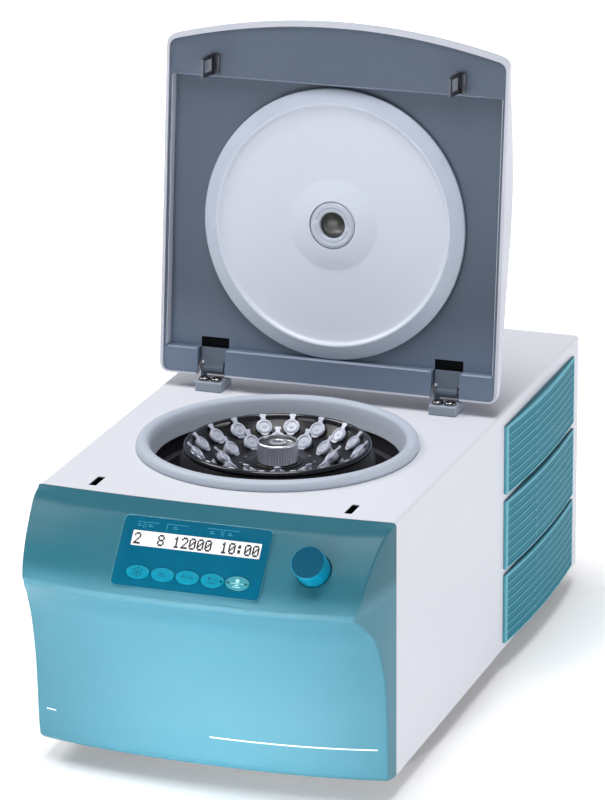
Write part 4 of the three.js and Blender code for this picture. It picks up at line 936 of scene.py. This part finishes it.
def lid_outline(inset, corner=8.5, fine=1, front=0.0, rear=0.0):
    w, r = HALF_W - inset, max(1.0, corner - inset)
    yr = -(LID_REAR + inset + rear)
    fy = lambda x: -(front_edge(x) - inset - front)
    bez = lambda a, b, c, n: [tuple((1 - t) ** 2 * p + 2 * t * (1 - t) * q + t * t * s for p, q, s in zip(a, b, c)) for t in [i / n for i in range(n + 1)]]
    pts = bez((w, yr - r), (w, yr), (w - r, yr), 6)
    pts += [(x, yr) for x in np.linspace(w - r, -w + r, 20 * fine)[1:-1]]
    pts += bez((-w + r, yr), (-w, yr), (-w, yr - r), 6)
    ye = fy(w) + r
    pts += [(-w, y) for y in np.linspace(yr - r, ye, 30 * fine)[1:-1]]
    pts += bez((-w, ye), (-w, fy(w)), (-w + r, fy(w - r)), 8)
    pts += [(x, fy(x)) for x in np.linspace(-w + r, w - r, 44 * fine)[1:-1]]
    pts += bez((w - r, fy(w - r)), (w, fy(w)), (w, ye), 8)
    pts += [(w, y) for y in np.linspace(ye, yr - r, 30 * fine)[1:-1]]
    return pts


def lid_solid(inset, low, drop, ds, front=0.0, rear=0.0):
    base, c = lid_outline(inset, 8.5, 1, front, rear), -135
    rings = [[(x, y, low) for x, y in base]]
    for d in ds:
        q = 1 - d / 137
        dome = 13 * math.sqrt(max(0, 1 - (1 - min(1, d / 45)) ** 2)) + 2 * smooth(d / 120)
        ring = []
        for x, y in base:
            py = c + (y - c) * q
            ring.append((x * q, py, -LID_RIM + wall_at(-y * q + -c * (1 - q)) + dome - drop))
        rings.append(ring)
    return tube_of(rings)


def lid():
    ds = [0, 0.15, 0.5, 1, 1.8, 3, 4.5, 6.5, 9, 12, 16, 21, 27, 34, 42, 52, 64, 78, 92, 106, 118, 128, 134]
    cover = piece("lid_shell", *lid_solid(0, -LID_RIM, 0, ds), "lid_white", place=LID, tool=True)
    tools = [
        piece("t", *lid_solid(2.4, -LID_RIM - 3, LID_T, [0, 1, 3, 8, 20, 45, 90, 130], 2.2, -1.2), "lid_white", place=LID, tool=True),
        piece("t", *lathe([(0, -5), (14, -5), (14, 60), (0, 60)], 64, *DISC_C), "lid_white", place=LID, tool=True),
    ]
    for s in (-1, 1):
        tools.append(piece("t", *block(s * HINGE_X - 12, -7, -20, s * HINGE_X + 12, 12, 20), "lid_white", place=LID, tool=True))
    carve(cover, tools, angle=34)
    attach(cover, "lid")
    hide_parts("lid_cover")
    soften(cover, 0.0008, 3, 55)

    # inner lid: apron at the front, hinge beam at the rear, tray between them
    rim = -LID_RIM
    face, floor, t, crease, beam = rim + 1.5, rim + 10.5, 1.7, 235.4, 16.8
    far = 400

    def pan(rows):
        return tube_of([[(x, y, h) for x, y in lid_outline(i, 4.4, 1, 2.15, -1.25)] for i, h in rows])

    fillet = []
    for k in range(9):
        a = math.radians(90 * k / 8)
        fillet.append((4.7 + 1.6 * (1 - math.cos(a)), floor - 1.6 + 1.6 * math.sin(a)))
    cavity = piece("c", *pan([(4.3, face - 3), (4.5, face + 0.8)] + fillet + [(6.4, floor + 0.01)]), "slate", place=LID, tool=True)
    lim = piece("c2", *prism_x([(-(beam + 0.6), face - 5), (-(beam + 0.6), floor + 1), (-crease, floor + 1), (-crease - 0.0, face - 5)], -200, 200), "slate", place=LID, tool=True)
    carve(cavity, [lim], "INTERSECT")
    form = piece("f", *pan([(2.55, face), (2.9, rim + 6), (3.6, floor + t)]), "slate", place=LID, tool=True)
    liner = piece("lid_tray", *block(-HALF_W + 2, -(crease + t), face, HALF_W - 2, -beam + 1.6, floor + t), ["slate", "slate_light", "gap"], place=LID, tool=True)
    apron = piece("a", *block(-HALF_W + 2, -far, face, HALF_W - 2, -crease - 0.5, face + t), "slate", place=LID, tool=True)
    rear = piece("b", *block(-HALF_W + 2, -beam + 0.4, face, HALF_W - 2, 8, face + t), "slate", place=LID, tool=True)
    carve(liner, [apron, rear], "UNION")
    carve(liner, [form], "INTERSECT")
    cuts = [cavity]
    # bevelled edges along the beam and the apron; their cut faces take a lighter slate, a painted highlight
    cuts.append(piece("b1", *prism_x([(-beam + 1.2, face - 0.6), (-beam + 0.6, face), (-beam - 0.6, face + 1.2), (-beam - 6, face + 1.2), (-beam - 6, face - 0.6)], -HALF_W + 5.3, HALF_W - 5.3), "slate_light", place=LID, tool=True))
    cuts.append(piece("b2", *prism_x([(-crease - 1.6, face - 0.6), (-crease + 3, face - 0.6), (-crease + 3, face + 1.6), (-crease + 0.01, face + 1.6)], -HALF_W + 5.3, HALF_W - 5.3), "slate_light", place=LID, tool=True))
    for s in (-1, 1):
        x = s * HINGE_X
        cuts.append(piece("w", *block(x - 11.6, -25.4, -30, x + 11.6, 20, floor + t + 1), "slate", place=LID, tool=True))
    cuts.append(piece("p", *lathe([(0, -20), (17, -20), (17, 30), (0, 30)], 48, *DISC_C), "slate", place=LID, tool=True))
    carve(liner, cuts, angle=30)
    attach(liner, "lid")
    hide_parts("lid_liner")
    soften(liner, 0.0003, 2, 50)
    for s, side in ((-1, "left"), (1, "right")):
        # pale side wall of the tray
        wall = block(s * (HALF_W - 4.8) - 0.22, -crease + 0.4, face + 0.1, s * (HALF_W - 4.8) + 0.22, -beam - 1.4, floor - 1.0)
        piece("tray_side_" + side, *wall, "lid_white", body="lid", place=LID, slot="lid_white")
        x = s * HINGE_X
        # painted shade: a black block behind each hinge window
        back = block(x - 11.5, -25.3, floor - 0.3, x + 11.5, -17.5, floor + 0.9)
        walls = [block(x - 13, -17.3, face + 0.3, x - 11.7, -8, floor), block(x + 11.7, -17.3, face + 0.3, x + 13, -8, floor)]
        piece("hinge_pocket_painted_shade_" + side, *back, "gap", body="lid", place=LID, slot="black_plastic")
        piece("hinge_cheeks_" + side, *many(walls), "slate", body="lid", place=LID, slot="liner_slate")

    # pressure disc
    f = floor - 0.3
    disc = [(107.6, -4.1), (107.3, -4.7), (106.6, -5.1), (101.4, -6.9), (97.4, -8.15), (96.5, -8.4), (95.6, -8.25), (94.8, -7.7), (93.9, -6.6), (92.9, -5.95), (91.4, -5.6),
            (84, -5.3), (72, -5.05), (60, -4.85), (50, -4.8), (40, -4.75), (37.0, -4.8), (35.8, -4.9), (34.8, -5.15), (30, -6.2), (22, -7.8), (20.4, -8.02), (19.2, -8.1), (18.85, -7.7), (18.85, f), (106, f), (107.6, -2.2)]
    plate = piece("disc_plate", *lathe(disc, 160, *DISC_C), ["disc", "disc_band"], body="lid", place=LID, replaces=["lid_disc"], slot="disc_pale", angle=40)
    back_to_lid = LID.inverted()
    for q in plate.data.polygons:
        c = back_to_lid @ q.center
        q.material_index = 1 if math.hypot(c.x - DISC_C[0], c.y - DISC_C[1]) > 96.9 else 0
    bez = [(10.3, -4), (10.4, -7.6), (10.8, -8.3), (11.5, -8.6), (12.9, -8.6), (13.2, -8.3), (13.6, -8.25), (13.9, -8.55), (14.4, -8.7), (16.4, -8.65), (17.3, -8.3), (18.1, -7.5), (18.6, -6.6),
           (18.6, f - 0.3), (16.6, f - 0.2), (16.6, floor + 2.7), (13.6, floor + 4), (13.4, 25), (13.4, 26.4), (10.5, 26.4), (10.4, 0)]
    piece("port_ring", *lathe(bez, 80, *DISC_C), "port", body="lid", place=LID, replaces=["port_bezel"], slot="port_clear", angle=40)
    piece("port_pane", *lathe([(0, -6.6), (3, -6.5), (6, -6.15), (8.4, -5.6), (10.2, -4.9), (10.2, -4.0), (0, -4.0)], 64, *DISC_C), "port_glass", body="lid", place=LID, slot="port_clear")
    clips = []
    for k in range(2):
        m = Matrix.Translation((DISC_C[0], DISC_C[1], 0)) @ Matrix.Rotation(math.radians(8 + 180 * k), 4, "Z")
        clips.append(moved(block(11.4, -2.0, -8.75, 15.4, 2.0, -8.0), m))
    soften(piece("port_clips", *many(clips), "port", body="lid", place=LID, slot="port_clear", smooth=False), 0.0004, 2)

    # hooks: steel frames with a window
    for s, side in ((-1, "left"), (1, "right")):
        x, z0 = s * HOOK_X, face - 0.3
        outline = [(-252.2, z0 - 27), (-238.8, z0 - 27), (-237.8, z0 - 26), (-237.8, z0), (-254.3, z0), (-254.3, -25), (-252.9, -35.8)]
        hook = piece("latch_frame_" + side, *prism_x(outline, x - 1, x + 1), "hook", place=LID, tool=True)
        foot = piece("t", *prism(rounded(10, 16.5, 1.2, 4, x, -246.05), z0 - 1.6, z0), "steel", place=LID, tool=True)
        carve(hook, [foot], "UNION")
        win = piece("t", *prism_x([(-251.2, z0 - 24), (-240.7, z0 - 24), (-240.7, z0 - 8.5), (-251.2, z0 - 8.5)], x - 3, x + 3), "steel", place=LID, tool=True)
        carve(hook, [win])
        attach(hook, "lid")
        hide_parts("latch_hook_" + side)
        soften(hook, 0.0003, 2)


lid()


# ---------------------------------------------------------------- hinges
for s, side in ((-1, "left"), (1, "right")):
    x, y, z = s * HINGE_X, HINGE[1], HINGE[2]
    foot = prism_x([(244, 200.3), (268.5, 200.3), (268.5, 205), (266.8, 206.8), (257, 208.15), (245, 208.15), (244, 207.2)], x - 11, x + 11)
    soften(piece("hinge_block_" + side, *foot, "bracket", replaces=["hinge_bracket_" + side], slot="hinge_grey", angle=30), 0.0005, 3, 30)
    ear = [(y - 3.6, 206.5), (y + 6, 206.5), (y + 4.0, z + 1.0)] + [(y + 3.5 * math.cos(a), z + 3.5 * math.sin(a)) for a in np.linspace(0.4, math.pi - 0.4, 9)] + [(y - 3.6, z + 0.8)]
    ears = many([prism_x(ear, x - 11, x - 8.75), prism_x(ear, x + 8.75, x + 11)])
    soften(piece("hinge_ears_" + side, *ears, "hinge", slot="hinge_grey", angle=30), 0.0003, 2, 30)
    for k, at in enumerate(("outer", "inner")):
        sx = x + (5 * s if k == 0 else -5 * s)
        head = [(0, 190), (1.9, 190), (1.9, 208.45), (4.6, 208.5), (4.8, 208.9), (4.7, 209.5), (4.2, 210.3), (3.3, 210.85), (2.4, 211.1), (1.9, 211.15), (1.85, 210.6), (1.6, 210.1), (0, 210.1)]
        piece(f"button_screw_{side}_{at}", *lathe(head, 40, sx, 250), "chrome", replaces=[f"hinge_screw_{side}_{at}"], slot="screw_chrome", angle=40)

# ---------------------------------------------------------------- feet
for name, x, y in (("front_left", -112, 48), ("front_right", 112, 48), ("rear_left", -112, 436), ("rear_right", 112, 436)):
    foot = [(0, -18), (12.4, -18), (13.0, -17.6), (13.4, -16.8), (15.2, -14.2), (15.5, -13.2), (15.5, -1.2), (15.0, -0.4), (2.6, -0.3), (2.6, 9), (0, 9)]
    piece("rubber_foot_" + name, *lathe(foot, 48, x, y), "black_rubber", replaces=["foot_" + name], slot="rubber_black")

# ---------------------------------------------------------------- finishes of the parts kept from the frame
KEPT = {
    "white": ["rear_panel"],
    "plate": ["base_tray", "lock_unit", "motor_mount_plate", "power_supply"],
    "steel": ["lock_bar", "drive_shaft"],
    "hook": ["hinge_pin_left", "hinge_pin_right"],
    "hinge": ["hinge_arm_left", "hinge_arm_right"],
    "foam": ["chamber_insulation"], "black_rubber": ["motor_damper"], "iron": ["motor_housing", "compressor"],
    "copper": ["evaporator_coil", "refrigerant_pipe"], "fins": ["condenser"], "board": ["display_board", "control_board"],
    "black": ["fan_shroud", "condenser_fan", "power_inlet", "power_rocker"],
}
for mat, names in KEPT.items():
    for n in names:
        o = nodes[n]
        o.data.materials.clear()
        o.data.materials.append(M[mat])
        soften(o, 0.0005, 2, 40, weld=True)
